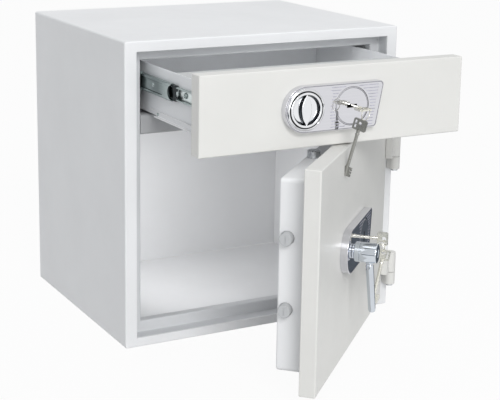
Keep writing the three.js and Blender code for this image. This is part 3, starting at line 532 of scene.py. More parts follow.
def build_hinges():
    for level in ("lower", "upper"):
        low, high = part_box("hinge_fixed_" + level)
        radius = (high.x - low.x) / 2
        outline = knuckle_outline(radius, high.y, HINGE.x - radius, HINGE.x + radius)
        bm = soften(extrude(outline, "z", low.z, high.z), 0.0007)
        pin_hole = turned_bar("z", PIN_HOLE, low.z - PAST, high.z + PAST, HINGE)
        piece("hinge_knuckle_" + level, combine(bm, [pin_hole]), "cabinet", WARM,
              replaces=["hinge_fixed_" + level])
        low, high = shut_box("hinge_leaf_" + level, DOOR)
        outline = knuckle_outline(radius, high.y, low.x, HINGE.x)
        bm = soften(extrude(outline, "z", low.z, high.z), 0.0009)
        pin_hole = turned_bar("z", PIN_HOLE, low.z - PAST, high.z - HINGE_CAP, HINGE)
        piece("hinge_arm_" + level, combine(bm, [pin_hole]), "door", WARM, DOOR,
              replaces=["hinge_leaf_" + level])


def knuckle_outline(radius, back, left, right):
    """Round at the front, square at the back, with an arm from left to right behind the pin's line."""
    has_arm = left < HINGE.x - radius - 0.001
    points = [(right, back), (left, back), (left, HINGE.y - (0.0005 if has_arm else 0))]
    turn = 180 if right > HINGE.x + 0.001 else 250
    for k in range(19):
        a = math.radians(180 + turn * k / 18)
        points.append((HINGE.x + radius * math.cos(a), HINGE.y + radius * math.sin(a)))
    return points


build_hinges()


# Fronts

FRONT_EDGE = 0.0022


def build_front(name, node, place, body, flange):
    """A folded front: flat face, round front edges, and a flange turned in at the back."""
    low, high = shut_box(node, place)
    line = [
        (0.01, low.y), (0, low.y), (0, high.y), (flange, high.y), (flange, high.y - 0.003),
    ]
    profile = fillet(line, [0, FRONT_EDGE, 0.0012, 0.0006, 0], 5)
    bm = loft(inset_loops(low, high, profile, 0.0016, TIGHT))
    piece(name, bm, body, WARM, place, replaces=[node])


build_front("drawer_front_fold", "drawer_front", DRAWER, "drawer", 0.026)
build_front("door_front_fold", "door_slab", DOOR, "door", 0.040)


# Lock plates

PLATE_HALF = 0.035
PLATE_TOP_RIGHT = 0.137
PLATE_BOTTOM_RIGHT = 0.124
DISC_RADIUS = 0.029
KEY_OFFSET = 0.080
PLATE_FRONT = shut_box("drawer_lock_plate", DRAWER)[0].y
KNOB_SEAT = 0.0284
KNOB_SEAT_DEPTH = 0.0065
OUTLINE_DEPTH = 0.0005
LINE_DEPTH = 0.0004
SLOT_HALF = (0.0088, 0.0026)  # half the keyhole's length and width


def plate_outline(x, z, inset, steps=8):
    """Round at the handle; the far end slants."""
    half = PLATE_HALF - inset
    corner = 0.006 - inset * 0.5
    slant = math.atan2(PLATE_TOP_RIGHT - PLATE_BOTTOM_RIGHT, 2 * PLATE_HALF)
    top = Vector((x + PLATE_TOP_RIGHT - inset * 1.2, z + half))
    bottom = Vector((x + PLATE_BOTTOM_RIGHT - inset * 1.2, z - half))
    shape = [(x, z - half), tuple(bottom), tuple(top), (x, z + half)]
    points = fillet(shape, [0, corner, corner, 0], steps)
    for k in range(1, 24):
        a = math.pi / 2 + math.pi * k / 24
        points.append((x + half * math.cos(a), z + half * math.sin(a)))
    return points


def engraved_lines(x, z):
    """Cutters for the fine level lines on both sides of the keyhole disc."""
    rows = 14
    pitch = 0.0046
    half = 0.0006
    shortest = 0.003
    clear = DISC_RADIUS + 0.003
    centre = x + KEY_OFFSET
    slant = (PLATE_TOP_RIGHT - PLATE_BOTTOM_RIGHT) / (2 * PLATE_HALF)
    random.seed(7)
    cutters = []
    for row in range(rows):
        level = (row - (rows - 1) / 2) * pitch
        left = x + 0.042 + random.uniform(0, 0.004)
        right = x + (PLATE_TOP_RIGHT + PLATE_BOTTOM_RIGHT) / 2 + slant * level - 0.008
        right -= random.uniform(0, 0.002)
        spans = [(left, right)]
        if abs(level) < clear:
            reach = math.sqrt(clear ** 2 - level ** 2)
            spans = [(left, centre - reach), (centre + reach, right)]
        for start, end in spans:
            if end - start > shortest:
                cutters.append(block((start, PLATE_FRONT - PAST / 2, z + level - half),
                                     (end, PLATE_FRONT + LINE_DEPTH, z + level + half)))
    return cutters


def border_line(x, z):
    """Cutter for the groove that runs round the plate at its edge."""
    front = PLATE_FRONT - PAST / 2
    floor = PLATE_FRONT + OUTLINE_DEPTH
    section = ((0.0009, front), (0.0009, floor), (0.0018, floor), (0.0018, front))
    return loft([upright(plate_outline(x, z, inset), y) for inset, y in section], closed=True)


def paint_groove_shade(bm, x=math.inf, z=0):
    """Painted shade in grooves: outlines get the second material; fine lines, and the keyhole at (x, z), get
    the third, each darker than the plate.
    """
    for face in bm.faces:
        middle = face.calc_center_median()
        depth = middle.y - PLATE_FRONT
        if abs(face.normal.y) < 0.99 and depth < 0.001:
            continue
        if depth > 0.001 and math.hypot(middle.x - x, middle.z - z) < 0.012:
            face.material_index = 2
        elif abs(depth - OUTLINE_DEPTH) < 0.00002:
            face.material_index = 1
        elif abs(depth - LINE_DEPTH) < 0.00002:
            face.material_index = 2


def join(parts):
    """Several loose shells in one bmesh."""
    bm = bmesh.new()
    for part in parts:
        mesh = bpy.data.meshes.new("part")
        part.to_mesh(mesh)
        part.free()
        bm.from_mesh(mesh)
        bpy.data.meshes.remove(mesh)
    return bm


def build_lock(name, x, z, place, body, plate_node, disc_node):
    rear = FRONT - GAP
    edge = 0.0007
    profile = [(0, rear), (0, PLATE_FRONT + edge)]
    for k in range(1, 5):
        a = math.radians(90 * k / 4)
        profile.append((edge * (1 - math.cos(a)), PLATE_FRONT + edge * (1 - math.sin(a))))
    loops = [upright(plate_outline(x, z, inset), y) for inset, y in profile]
    centre = (x + KEY_OFFSET, 0, z)
    seat = turned_bar("y", DISC_RADIUS + 0.0006, PLATE_FRONT - PAST, rear + PAST, centre, FINE)
    cutters = [seat, join(engraved_lines(x, z)), border_line(x, z)]
    if name == "drawer_lock":
        seat_floor = PLATE_FRONT + KNOB_SEAT_DEPTH
        cutters.append(turned_bar("y", KNOB_SEAT, PLATE_FRONT - PAST, seat_floor, (x, 0, z), FINE))
    bm = combine(loft(loops), cutters)
    # Painted shade: the floors of the border groove and the fine lines get darker materials
    paint_groove_shade(bm)
    piece(name + "_plate_face", bm, body, (PLATE, OUTLINE_SHADE, ENGRAVED_SHADE), place,
          replaces=[plate_node])

    radius = DISC_RADIUS
    front = PLATE_FRONT
    groove = PLATE_FRONT + OUTLINE_DEPTH
    disc = lathe([
        (0, rear), (radius, rear), (radius, front + 0.0005), (radius - 0.0005, front),
        (radius - 0.0012, front), (radius - 0.0012, groove), (radius - 0.0021, groove),
        (radius - 0.0021, front), (0, front),
    ], centre, "y", FINE)
    half_x, half_z = SLOT_HALF if name == "drawer_lock" else reversed(SLOT_HALF)
    slot = block((centre[0] - half_x, front - PAST / 2, z - half_z),
                 (centre[0] + half_x, rear - 0.001, z + half_z))
    bore = turned_bar("y", 0.003, front - PAST / 2, rear - 0.001, centre, 32)
    bm = combine(disc, [slot, bore])
    # Painted shade: the groove round the disc and the keyhole's inside get darker materials
    paint_groove_shade(bm, *centre[::2])
    piece(name + "_keyhole_face", bm, body, (PLATE, OUTLINE_SHADE, RECESS_SHADE), place,
          replaces=[disc_node])


DRAWER_KNOB_AT = (JOINTS["drawer_knob_turn"]["pos_m"][0], JOINTS["drawer_knob_turn"]["pos_m"][2])
HANDLE_SHUT = DOOR.inverted() @ Vector(JOINTS["handle_turn"]["pos_m"])
HANDLE_AT = (HANDLE_SHUT.x, HANDLE_SHUT.z)
build_lock("drawer_lock", *DRAWER_KNOB_AT, DRAWER, "drawer", "drawer_lock_plate", "drawer_keyhole_disc")
build_lock("door_lock", *HANDLE_AT, DOOR, "door", "door_lock_plate", "door_keyhole_disc")


# Knob of the drawer

def build_knob():
    """A low collar, and in it a cup with a lens-shaped grip between two finger hollows."""
    x, z = DRAWER_KNOB_AT
    face = PLATE_FRONT - GAP
    centre = (x, 0, z)
    collar_radius = 0.0316
    cup_radius = 0.0268
    rim_inside = 0.0230
    shoulder = [
        (KNOB_SEAT, face), (collar_radius, face), (collar_radius, face - 0.0006),
        (collar_radius - 0.0003, face - 0.0012), (collar_radius - 0.0011, face - 0.0019),
        (collar_radius - 0.0020, face - 0.0023), (collar_radius - 0.0026, face - 0.0023),
        (KNOB_SEAT, face - 0.0018),
    ]
    collar = turned_ring(shoulder, centre, sides=FINE)
    piece("knob_collar_ring", collar, "drawer", CHROME, DRAWER,
          replaces=["drawer_knob_collar"])
    # Painted shade: two near-black rings line the seat round the knob
    floor = ring(0.0075, KNOB_SEAT - 0.0001, face + 0.0046, face + 0.0060, centre, edge=0.0002)
    shade = ring(0.0271, KNOB_SEAT - 0.0001, face - 0.0006, face + 0.0040, centre, edge=0.0001)
    piece("knob_recess", join([floor, shade]), "drawer", RECESS_SHADE, DRAWER)
    front = face - 0.0028
    sunk = face + 0.0034
    cup = lathe([
        (0, face + 0.0042), (cup_radius - 0.0006, face + 0.0042), (cup_radius, face + 0.0036),
        (cup_radius, front + 0.0012), (cup_radius - 0.0004, front + 0.0004), (cup_radius - 0.0012, front),
        (rim_inside + 0.0006, front), (rim_inside, front + 0.0004), (rim_inside - 0.0004, front + 0.0012),
        (rim_inside - 0.0018, sunk - 0.0012), (rim_inside - 0.0026, sunk - 0.0004),
        (rim_inside - 0.0042, sunk), (0, sunk),
    ], centre, "y", FINE)
    grip = lens_grip(x, z, 0.0240, 0.0108, sunk + 0.0004, front)
    bm = combine(cup, [grip], "UNION")
    # Painted shade: the walls of the finger hollows and the sides of the grip get the near-black chrome
    for face in bm.faces:
        middle = face.calc_center_median()
        inside = math.hypot(middle.x - x, middle.z - z) < rim_inside + 0.0004
        if inside and front + 0.0004 < middle.y < sunk - 0.0002 and abs(face.normal.y) < 0.8:
            face.material_index = 1
    piece("knob_turned", bm, "drawer_knob", (CHROME, SHADED_CHROME), DRAWER,
          replaces=["drawer_knob"])


def lens_grip(x, z, half, bulge, rear, front):
    """A lens-shaped bar standing across the knob; its sides slope in towards its flat front."""
    loops = []
    depth = rear - front
    slope = ((0, 0), (0.12, 0.0003), (0.80, 0.0021), (0.92, 0.0025), (0.98, 0.0030), (1.0, 0.0038))
    for share, inset in slope:
        h = half - inset * 0.3
        b = bulge - inset
        radius = (h * h + b * b) / (2 * b)
        turn = math.asin(h / radius)
        steps = 16
        outline = []
        for side in (1, -1):
            for k in range(steps):
                a = -turn + 2 * turn * k / steps
                across = side * (radius * math.cos(a) - radius + b)
                outline.append((x + across, z + side * radius * math.sin(a)))
        loops.append(upright(outline, rear - depth * share))
    return loft(loops)


build_knob()


# Handle of the door: the lever leans away from the door

LEVER_AT = 0.025
LEVER_LEAN = math.radians(5)
LEVER_LENGTH = 0.095
LEVER_TOP = 0.0065


def build_handle():
    x, z = HANDLE_AT
    face = PLATE_FRONT - GAP
    centre = (x, 0, z)
    low, high = shut_box("handle_hub", DOOR)
    front = low.y
    radius = (high.x - low.x) / 2
    profile = [
        (0, face), (0.0105, face), (0.011, face - 0.0005), (0.011, face - 0.0030), (0.0125, face - 0.0034),
        (radius - 0.0010, face - 0.0040), (radius, face - 0.0050), (radius, face - 0.0120),
        (radius - 0.0007, face - 0.0124), (radius - 0.0007, face - 0.0136), (radius, face - 0.0140),
        (radius, front + 0.0022), (radius - 0.0007, front + 0.0007), (radius - 0.0024, front),
        (0.0062, front), (0.0055, front + 0.0007), (0, front + 0.0007),
    ]
    hub = lathe(profile, centre, "y", FINE)
    lever_low, lever_high = shut_box("handle_lever", DOOR)
    r = (lever_high.x - lever_low.x) / 2
    lean = Matrix.Translation((x, face - LEVER_AT, z)) @ Matrix.Rotation(-LEVER_LEAN, 4, "X")
    socket = turned_bar("z", r + 0.0004, -0.020, LEVER_TOP + 0.0006, (0, 0, 0), chamfer=0.0004)
    socket.transform(lean)
    bm = combine(hub, [socket])
    # Painted shade: the hub and the lever get the darker chrome
    piece("handle_hub_turned", bm, "door_handle", SHADED_BLUE_CHROME, DOOR, replaces=["handle_hub"])
    bottom = -LEVER_LENGTH
    bar = lathe([
        (0, bottom), (r * 0.50, bottom + 0.0004), (r * 0.78, bottom + 0.0016), (r * 0.90, bottom + 0.0040),
        (r * 0.93, bottom + 0.0080), (r, -0.030), (r, -0.0205), (r * 0.84, -0.0190), (r * 0.84, -0.0172),
        (r, -0.0160), (r, LEVER_TOP), (0, LEVER_TOP),
    ], (0, 0, 0), "z", 48)
    bar.transform(lean)
    piece("handle_lever_turned", bar, "door_handle", SHADED_BLUE_CHROME, DOOR,
          replaces=["handle_lever"])


build_handle()


# Door pan and bolts

def build_pan():
    low, high = shut_box("door_pan", DOOR)
    sheet = 0.002
    lip = 0.02
    inside = high.y - sheet
    line = [(0, low.y), (0, high.y), (lip, high.y), (lip, inside), (sheet, inside), (sheet, low.y)]
    profile = fillet(line, [0, 0.0030, 0, 0, 0.0012, 0], 5)
    loops = inset_loops(low, high, profile, 0.006, 0.0012, 6)
    # the surface starts inside on the back sheet, runs round the open front and ends outside on the back
    start = profile.index((lip, inside))
    bm = loft(loops[start:] + loops[:start])
    holes = []
    for node, axis, wall in (("side_bolt_upper", "x", low.x), ("side_bolt_lower", "x", low.x),
                             ("top_bolt", "z", high.z), ("bottom_bolt", "z", low.z)):
        a, b = shut_box(node, DOOR)
        width = b.z - a.z if axis == "x" else b.x - a.x
        holes.append(turned_bar(axis, width / 2 + 0.0006, wall - 2 * PAST, wall + 2 * PAST, (a + b) / 2, 64))
    piece("door_pan_fold", combine(bm, holes), "door", WHITE, DOOR, replaces=["door_pan"])


def build_side_bolts():
    for level in ("upper", "lower"):
        node = "side_bolt_" + level
        low, high = shut_box(node, DOOR)
        radius = (high.z - low.z) / 2
        centre = (low + high) / 2
        tip = low.x
        profile = [
            (0, tip), (radius - 0.0022, tip), (radius - 0.0008, tip + 0.0004), (radius, tip + 0.0020),
            (radius, high.x - 0.0004), (radius - 0.0004, high.x), (0, high.x),
        ]
        bolt = lathe(profile, centre, "x", 64)
        half = 0.0007
        reach = radius * 0.62
        slot = block((tip - 0.001, centre.y - half, centre.z - reach),
                     (tip + 0.0009, centre.y + half, centre.z + reach))
        bm = combine(bolt, [slot])
        piece("bolt_pin_" + level, bm, "side_bolts", BOLT_PAINT, DOOR, replaces=[node])


def build_top_bolt():
    low, high = shut_box("top_bolt", DOOR)
    radius = (high.x - low.x) / 2
    profile = [(0, low.z), (radius, low.z)]
    for step in range(7):
        level = high.z - 0.006 - 0.0022 * (6 - step)
        profile += [(radius, level - 0.0002), (radius - 0.00018, level), (radius, level + 0.0002)]
    profile += [(radius, high.z - 0.0012), (radius - 0.0012, high.z), (0, high.z)]
    bm = lathe(profile, (low + high) / 2, "z", 48)
    piece("top_bolt_turned", bm, "top_bolt", STEEL, DOOR, replaces=["top_bolt"])


build_pan()
build_side_bolts()
build_top_bolt()


# Drawer box, lock bay cover and runner strips

def build_drawer_box():
    low, high = shut_box("drawer_box", DRAWER)
    sheet = 0.0015
    slot = (-0.160, 0.160, 0.095, 0.165)

    def wall(inset, z):
        outline = rounded_rectangle(low.x + inset, high.x - inset, low.y + inset, high.y - inset,
                                    max(0.0005, 0.002 - inset), 4)
        return [(a, b, z) for a, b in outline]

    def edge(z):
        outline = rounded_rectangle(*slot, 0.003, 4)
        return [(a, b, z) for a, b in outline]

    loops = [
        edge(low.z), wall(0.0008, low.z), wall(0, low.z + 0.0008), wall(0, high.z - 0.0004),
        wall(0.0004, high.z), wall(sheet - 0.0004, high.z), wall(sheet, high.z - 0.0004),
        wall(sheet, low.z + sheet + 0.0006), wall(sheet + 0.0006, low.z + sheet), edge(low.z + sheet),
    ]
    piece("drawer_box_fold", loft(loops, closed=True), "drawer", INNER, DRAWER,
          replaces=["drawer_box"])


def build_lock_cover():
    low, high = shut_box("drawer_lock_cover", DRAWER)
    sheet = 0.0015
    half = sheet / 2
    line = [(low.y, high.z - half), (high.y - half, high.z - half), (high.y - half, low.z)]
    outline = thicken(fillet(line, 0.0022, 5), sheet)
    bm = extrude(outline, "x", low.x, high.x)
    bolt_y = shut_box("drawer_bolt_bar", DRAWER)[0].y + 0.006
    holes = []
    for bolt_x in (-0.150, 0.150):
        holes.append(turned_bar("z", 0.0065, high.z - 2 * PAST, high.z + PAST, (bolt_x, bolt_y, 0), 40))
    piece("lock_bay_cover_fold", combine(bm, holes), "drawer", COVER, DRAWER,
          replaces=["drawer_lock_cover"])


def build_strip(side):
    low, high = shut_box("drawer_strip_right", DRAWER)
    sheet = 0.0014
    half = sheet / 2
    line = [
        (high.x, low.z + half), (low.x + half, low.z + half), (low.x + half, high.z - half),
        (low.x + 0.0030, high.z - half),
    ]
    outline = thicken(fillet(line, 0.001, 4), sheet)
    bm = extrude(outline, "y", low.y, high.y)
    notch = block((low.x - PAST, high.y - 0.024, low.z - PAST),
                  (high.x + PAST, high.y + PAST, low.z + 0.0042))
    bm = combine(bm, [notch])
    place = DRAWER if side == "right" else DRAWER @ MIRROR
    piece("runner_strip_" + side, bm, "drawer", WHITE, place, replaces=["drawer_strip_" + side])
    seat = low.x + sheet
    head = lathe([
        (0, seat), (0.0026, seat), (0.0024, seat + 0.0010), (0.0014, seat + 0.0014),
        (0.0011, seat + 0.0006), (0, seat + 0.0006),
    ], (0, high.y - 0.030, (low.z + high.z) / 2), "x", 24)
    piece("strip_screw_" + side, head, "drawer", ZINC, place)


build_drawer_box()
build_lock_cover()


# Telescopic slides: made for the right-hand side, mirrored for the left

def build_slides(side):
    flip = BODY if side == "right" else MIRROR
    build_middle_member(side, flip)
    build_drawer_member(side, flip)
    build_ball_cage(side, flip)


def stadium(start, end, half, level, steps=10):
    """Outline in (y, z): square at its far end, half round at its near end."""
    points = [(end, level - half), (end, level + half), (start + half, level + half)]
    for k in range(1, steps):
        a = math.pi / 2 + math.pi * k / steps
        points.append((start + half + half * math.cos(a), level + half * math.sin(a)))
    points.append((start + half, level - half))
    return points


def build_middle_member(side, flip):
    """Two raised tracks and a sunk web between them that ends round before the hollowed front end."""
    low, high = shut_box("slide_middle_right", MIDDLE)
    mid = (low.z + high.z) / 2
    top = (high.z - low.z) / 2 - 0.0006
    out = high.x - 0.0006
    web = out - 0.0016
    line = with_mirror([
        (low.x + 0.0004, top - 0.0012), (low.x + 0.0012, top), (out - 0.0012, top), (out, top - 0.0014),
        (out, 0.0094), (web, 0.0082),
    ], mid)
    outline = thicken(fillet(line, 0.0006, 3), 0.0011)
    web_end = 0.030
    land = block((web - 0.0003, low.y, mid - 0.0090), (out + 0.0005, low.y + web_end, mid + 0.0090))
    sunk = stadium(low.y + web_end - 0.009, low.y + 0.06, 0.0072, mid)
    land = combine(land, [extrude(sunk, "x", web + 0.0004, out + PAST)])
    bm = combine(extrude(outline, "y", low.y, high.y), [land], "UNION")
    bite_radius = 0.0105
    bite_depth = 0.010
    bite = turned_bar("x", bite_radius, low.x + PAST, high.x + PAST,
                      (0, low.y + bite_depth - bite_radius, mid))
    bm = combine(bm, [bite])
    # Painted shade: the walls round the sunk web between the tracks get the near-black zinc
    for face in bm.faces:
        middle = face.calc_center_median()
        if abs(face.normal.x) < 0.85 and middle.x > web - 0.0003 and abs(middle.z - mid) < 0.0105:
            face.material_index = 1
    piece("middle_profile_" + side, bm, "slide_middle_" + side, (ZINC, GROOVE_SHADE_ZINC), MIDDLE @ flip,
          replaces=["slide_middle_" + side])
    rivet = lathe([
        (0, web), (0.0036, web), (0.0036, web + 0.0007), (0.0030, web + 0.0013), (0.0020, web + 0.0013),
        (0.0015, web + 0.0008), (0, web + 0.0008),
    ], (0, low.y + 0.065, mid + 0.0010), "x", 32)
    piece("middle_rivet_" + side, rivet, "slide_middle_" + side, LIT_ZINC, MIDDLE @ flip)


def build_drawer_member(side, flip):
    """A channel with a web in lighter zinc, which is a painted highlight, a screw near its front, and a black
    block at its front end, which is painted shadow for the shadow line before the drawer front.
    """
    low, high = shut_box("drawer_slide_right", DRAWER)
    mid = (low.z + high.z) / 2
    base = low.x + 0.0006
    lip = high.x - 0.0006
    line = with_mirror([
        (lip - 0.0004, 0.0085), (lip, 0.0092), (lip - 0.0012, 0.0101), (base + 0.0012, 0.0101),
        (base, 0.0088),
    ], mid)
    outline = thicken(fillet(line, 0.0005, 3), 0.0009)
    bm = extrude(outline, "y", low.y, high.y)
    # Painted highlight: the web's outer face gets the lighter zinc
    for face in bm.faces:
        if face.normal.x > 0.9 and abs(face.calc_center_median().z - mid) < 0.002:
            face.material_index = 1
    piece("drawer_profile_" + side, bm, "drawer", (ZINC, LIT_ZINC), DRAWER @ flip,
          replaces=["drawer_slide_" + side])
    screw_y = -0.105
    screw_z = mid + 0.0012
    head = lathe([
        (0, base), (0.0046, base + 0.0004), (0.0048, base + 0.0012), (0.0038, base + 0.0024),
        (0.0026, base + 0.0027), (0.0022, base + 0.0012), (0, base + 0.0010),
    ], (0, screw_y, screw_z), "x", 32)
    piece("slide_screw_" + side, head, "drawer", ZINC, DRAWER @ flip)
    # Painted shadow: a black block at the front end stands for the shadow line just before the drawer front
    end_shadow_block = block((base + 0.0006, low.y + 0.0004, mid - 0.0096), (lip - 0.0002, low.y + 0.0044, mid + 0.0096))
    piece("slide_stop_" + side, soften(end_shadow_block, 0.0005), "drawer", BLACK, DRAWER @ flip)


def build_ball_cage(side, flip):
    """Black plastic: a hollowed band with two tabs in front, and an arm along each track."""
    low, high = shut_box("slide_cage_right", CAGE)
    web_inside = shut_box("slide_middle_right", MIDDLE)[1].x - 0.0028
    outer = min(high.x - 0.0001, web_inside - 0.0003)
    mid = (low.z + high.z) / 2
    front = low.y
    half = 0.0119
    tab = [
        (0.0066, 0.0036), (0.0006, 0.0046), (0.0006, 0.0078), (0.0066, 0.0085), (0.0075, half),
        (0.0200, half), (0.0200, 0.0085),
    ]
    shape = [(0.0076, 0)] + tab
    for k in range(9):
        a = math.radians(60 - 120 * k / 8)
        shape.append((0.0245 - 0.0100 * math.cos(a), 0.0100 * math.sin(a)))
    shape += [(y, -z) for y, z in reversed(tab)]
    plate = [(front + y, mid + z) for y, z in shape]
    bm = extrude(plate, "x", outer - 0.0011, outer)
    arms = []
    for sign in (-1, 1):
        z0, z1 = sorted((mid + sign * 0.0108, mid + sign * half))
        arms.append(block((low.x, front + 0.0080, z0), (outer - 0.0003, high.y, z1)))
    bm = combine(bm, arms, "UNION")
    piece("ball_cage_" + side, bm, "slide_cage_" + side, BLACK, CAGE @ flip,
          replaces=["slide_cage_" + side])


for side in ("right", "left"):
    build_slides(side)
    build_strip(side)


# Keys and rings

BOW_WIDTH = 0.0215
BOW_LENGTH = 0.0175
HOLE_TO_EDGE = 0.0062
KEY_HOLE = 0.0034
SPARE_HOLE = 0.0024
SHANK_LENGTH = 0.073
BIT_LENGTH = 0.014
BIT_WIDTH = 0.016


def key_solid(hole_radius):
    """A double-bit key with its hole at the origin, its shank along -Z and its flat face towards -Y."""
    top = HOLE_TO_EDGE
    low = top - BOW_LENGTH
    tip = low - SHANK_LENGTH
    half = 0.0014
    side = BOW_WIDTH / 2
    bow = extrude(rounded_rectangle(-side, side, low, top, 0.0022, 5), "y", -half, half)
    hole = turned_bar("y", hole_radius, -0.004, 0.004, (0, 0, 0), 40)
    slot = rounded_rectangle(0.0022 - side, 0.0056 - side, low + 0.0025, top - 0.0025, 0.0014)
    slot = extrude(slot, "y", -0.004, 0.004)
    stamps = []
    for sign in (-1, 1):
        y0, y1 = sorted((sign * (half - 0.0004), sign * (half + 0.001)))
        spot = (side - 0.0042, 0, low + 0.0045)
        stamps.append(ring(0.0013, 0.0022, y0, y1, spot, edge=0.0001, sides=32))
        for z0, z1 in ((top - 0.0052, top - 0.0042), (top - 0.0032, top - 0.0024)):
            stamps.append(block((side - 0.0075, y0, z0), (side - 0.0018, y1, z1)))
    bow = soften(combine(bow, [hole, slot]), 0.0004)
    bow = combine(bow, stamps)
    shank = lathe([
        (0, tip - 0.001), (0.0019, tip - 0.001), (0.0025, tip - 0.0004), (0.0025, low - 0.0075),
        (0.0032, low - 0.0065), (0.0032, low - 0.0050), (0.0025, low - 0.0040), (0.0030, low - 0.0005),
        (0.0034, low + 0.0015), (0, low + 0.002),
    ], (0, 0, 0), "z", 32)
    bit = block((-BIT_WIDTH / 2, -0.0013, tip), (BIT_WIDTH / 2, 0.0013, tip + BIT_LENGTH))
    steps = (
        (1, 0.0030, 0.0035), (1, 0.0045, 0.0080), (-1, 0.0040, 0.0025), (-1, 0.0025, 0.0070),
        (-1, 0.0036, 0.0110), (1, 0.0022, 0.0118),
    )
    cuts = []
    for side, depth, start in steps:
        x0, x1 = sorted((side * (BIT_WIDTH / 2 - depth), side * BIT_WIDTH))
        cuts.append(block((x0, -0.003, tip + start), (x1, 0.003, tip + start + 0.0018)))
    bit = combine(bit, cuts)
    return combine(bow, [shank, bit], "UNION")


def split_ring(wire, radius):
    """Two turns of wire side by side, in the YZ plane, the second starting where the first ends."""
    loops = []
    steps = 96
    turns = 1.92
    for k in range(steps + 1):
        t = k / steps
        a = math.tau * turns * t
        shift = wire * 0.5 * (2 * t - 1)
        loop = []
        for j in range(10):
            b = math.tau * j / 10
            r = radius + wire * 0.46 * math.cos(b)
            loop.append((shift + wire * 0.46 * math.sin(b), r * math.cos(a), r * math.sin(a)))
        loops.append(loop)
    return loft(loops)


LEVEL_KEY = Matrix.Rotation(math.pi / 2, 4, "X")
UPRIGHT_KEY = Matrix.Rotation(-math.pi / 2, 4, "Y") @ LEVEL_KEY
QUARTER = Matrix.Rotation(math.pi / 2, 4, "Z")
DRAWER_KEY_AT = DRAWER.inverted() @ Vector(JOINTS["drawer_key_turn"]["pos_m"])
DOOR_KEY_AT = DOOR.inverted() @ Vector(JOINTS["door_key_turn"]["pos_m"])
DOOR_SPARE_AT = DOOR.inverted() @ Vector(JOINTS["door_spare_swing"]["pos_m"])
RING_RADIUS = 0.0095
RING_WIRE = 0.0011
RING_FORWARD = 0.0078
RING_DROP = math.sqrt(RING_RADIUS ** 2 - RING_FORWARD ** 2)
RING_HANG = RING_RADIUS + 0.002
DRAWER_RING_TILT = math.radians(20)
DOOR_SPARE_LEAN = math.radians(10)
DRAWER_SPARE_SPOT = Vector((-0.0051, 0.0003, -0.0202))
DRAWER_SPARE_TURN = math.radians(-55)
DRAWER_SPARE_TILT = math.radians(15)


def build_keys_and_rings():
    """Each lock has a key in it with a ring, and a spare key on the ring."""
    drawer_key = DRAWER @ Matrix.Translation(DRAWER_KEY_AT)
    drawer_hang = Matrix.Translation((0, -RING_FORWARD, -RING_DROP))
    drawer_ring = drawer_key @ Matrix.Rotation(DRAWER_RING_TILT, 4, "Y") @ drawer_hang
    swing = Matrix.Rotation(DRAWER_SPARE_TURN, 4, "Z") @ Matrix.Rotation(DRAWER_SPARE_TILT, 4, "Y")
    drawer_spare = drawer_key @ Matrix.Translation(DRAWER_SPARE_SPOT) @ swing
    door_key = DOOR @ Matrix.Translation(DOOR_KEY_AT)
    door_ring = door_key @ Matrix.Translation((0, 0, -RING_HANG)) @ QUARTER
    lean = Matrix.Rotation(DOOR_SPARE_LEAN, 4, "X")
    door_spare = DOOR @ Matrix.Translation(DOOR_SPARE_AT) @ lean @ QUARTER
    rows = (
        ("drawer_key_cut", key_solid(KEY_HOLE), "drawer_key", drawer_key @ LEVEL_KEY),
        ("door_key_cut", key_solid(KEY_HOLE), "door_key", door_key @ UPRIGHT_KEY),
        ("door_spare_key_cut", key_solid(KEY_HOLE), "door_spare_key", door_spare),
        ("drawer_spare_key_cut", key_solid(SPARE_HOLE), "drawer_key_ring", drawer_spare),
        ("drawer_split_ring", split_ring(RING_WIRE, RING_RADIUS), "drawer_key_ring", drawer_ring),
        ("door_split_ring", split_ring(RING_WIRE, RING_RADIUS), "door_key_ring", door_ring),
    )
    for name, bm, body, place in rows:
        extra = name == "drawer_spare_key_cut"  # the only one that stands for no solid
        # The drawer's spare key gets the darker copy of the key metal
        piece(name, bm, body, DARKER_KEY_METAL if extra else KEY_METAL, place,
              replaces=[] if extra else [body])


build_keys_and_rings()


# Camera: fitted to the photograph

CAMERA_AT = Vector((-1.0440, -2.0461, 0.7956))
CAMERA_YAW = math.radians(28.443)
CAMERA_PITCH = math.radians(13.023)
CAMERA_ROLL = math.radians(0.926)
IMAGE_WIDTH = 500
FOCAL_PIXELS = 1316.6
SENSOR = 36.0
SHIFT = (0.0155, -0.1)


def build_camera():
    ahead = Vector((math.sin(CAMERA_YAW), math.cos(CAMERA_YAW), 0))
    forward = ahead * math.cos(CAMERA_PITCH) + Vector((0, 0, -math.sin(CAMERA_PITCH)))
    level = Vector((math.cos(CAMERA_YAW), -math.sin(CAMERA_YAW), 0))
    upright = level.cross(forward)
    right = level * math.cos(CAMERA_ROLL) + upright * math.sin(CAMERA_ROLL)
    up = upright * math.cos(CAMERA_ROLL) - level * math.sin(CAMERA_ROLL)
    data = bpy.data.cameras.new("camera")
    data.sensor_width = SENSOR
    data.lens = FOCAL_PIXELS * SENSOR / IMAGE_WIDTH
    data.shift_x, data.shift_y = SHIFT
    data.clip_start = 0.01
    camera = bpy.data.objects.new("camera", data)
    turn = Matrix((right, up, -forward)).transposed().to_4x4()
    camera.matrix_world = Matrix.Translation(CAMERA_AT) @ turn
    bpy.context.scene.collection.objects.link(camera)
    bpy.context.scene.camera = camera


# Floor, backdrop and light

WHITENESS = 0.95


def seen_directly(nodes, links):
    """1 where the camera or a mirror-like surface looks, 0 for all other light."""
    path = nodes.new("ShaderNodeLightPath")
    seen = nodes.new("ShaderNodeMath")
    seen.operation = "MAXIMUM"
    links.new(path.outputs["Is Camera Ray"], seen.inputs[0])
    links.new(path.outputs["Is Glossy Ray"], seen.inputs[1])
    return seen.outputs[0]


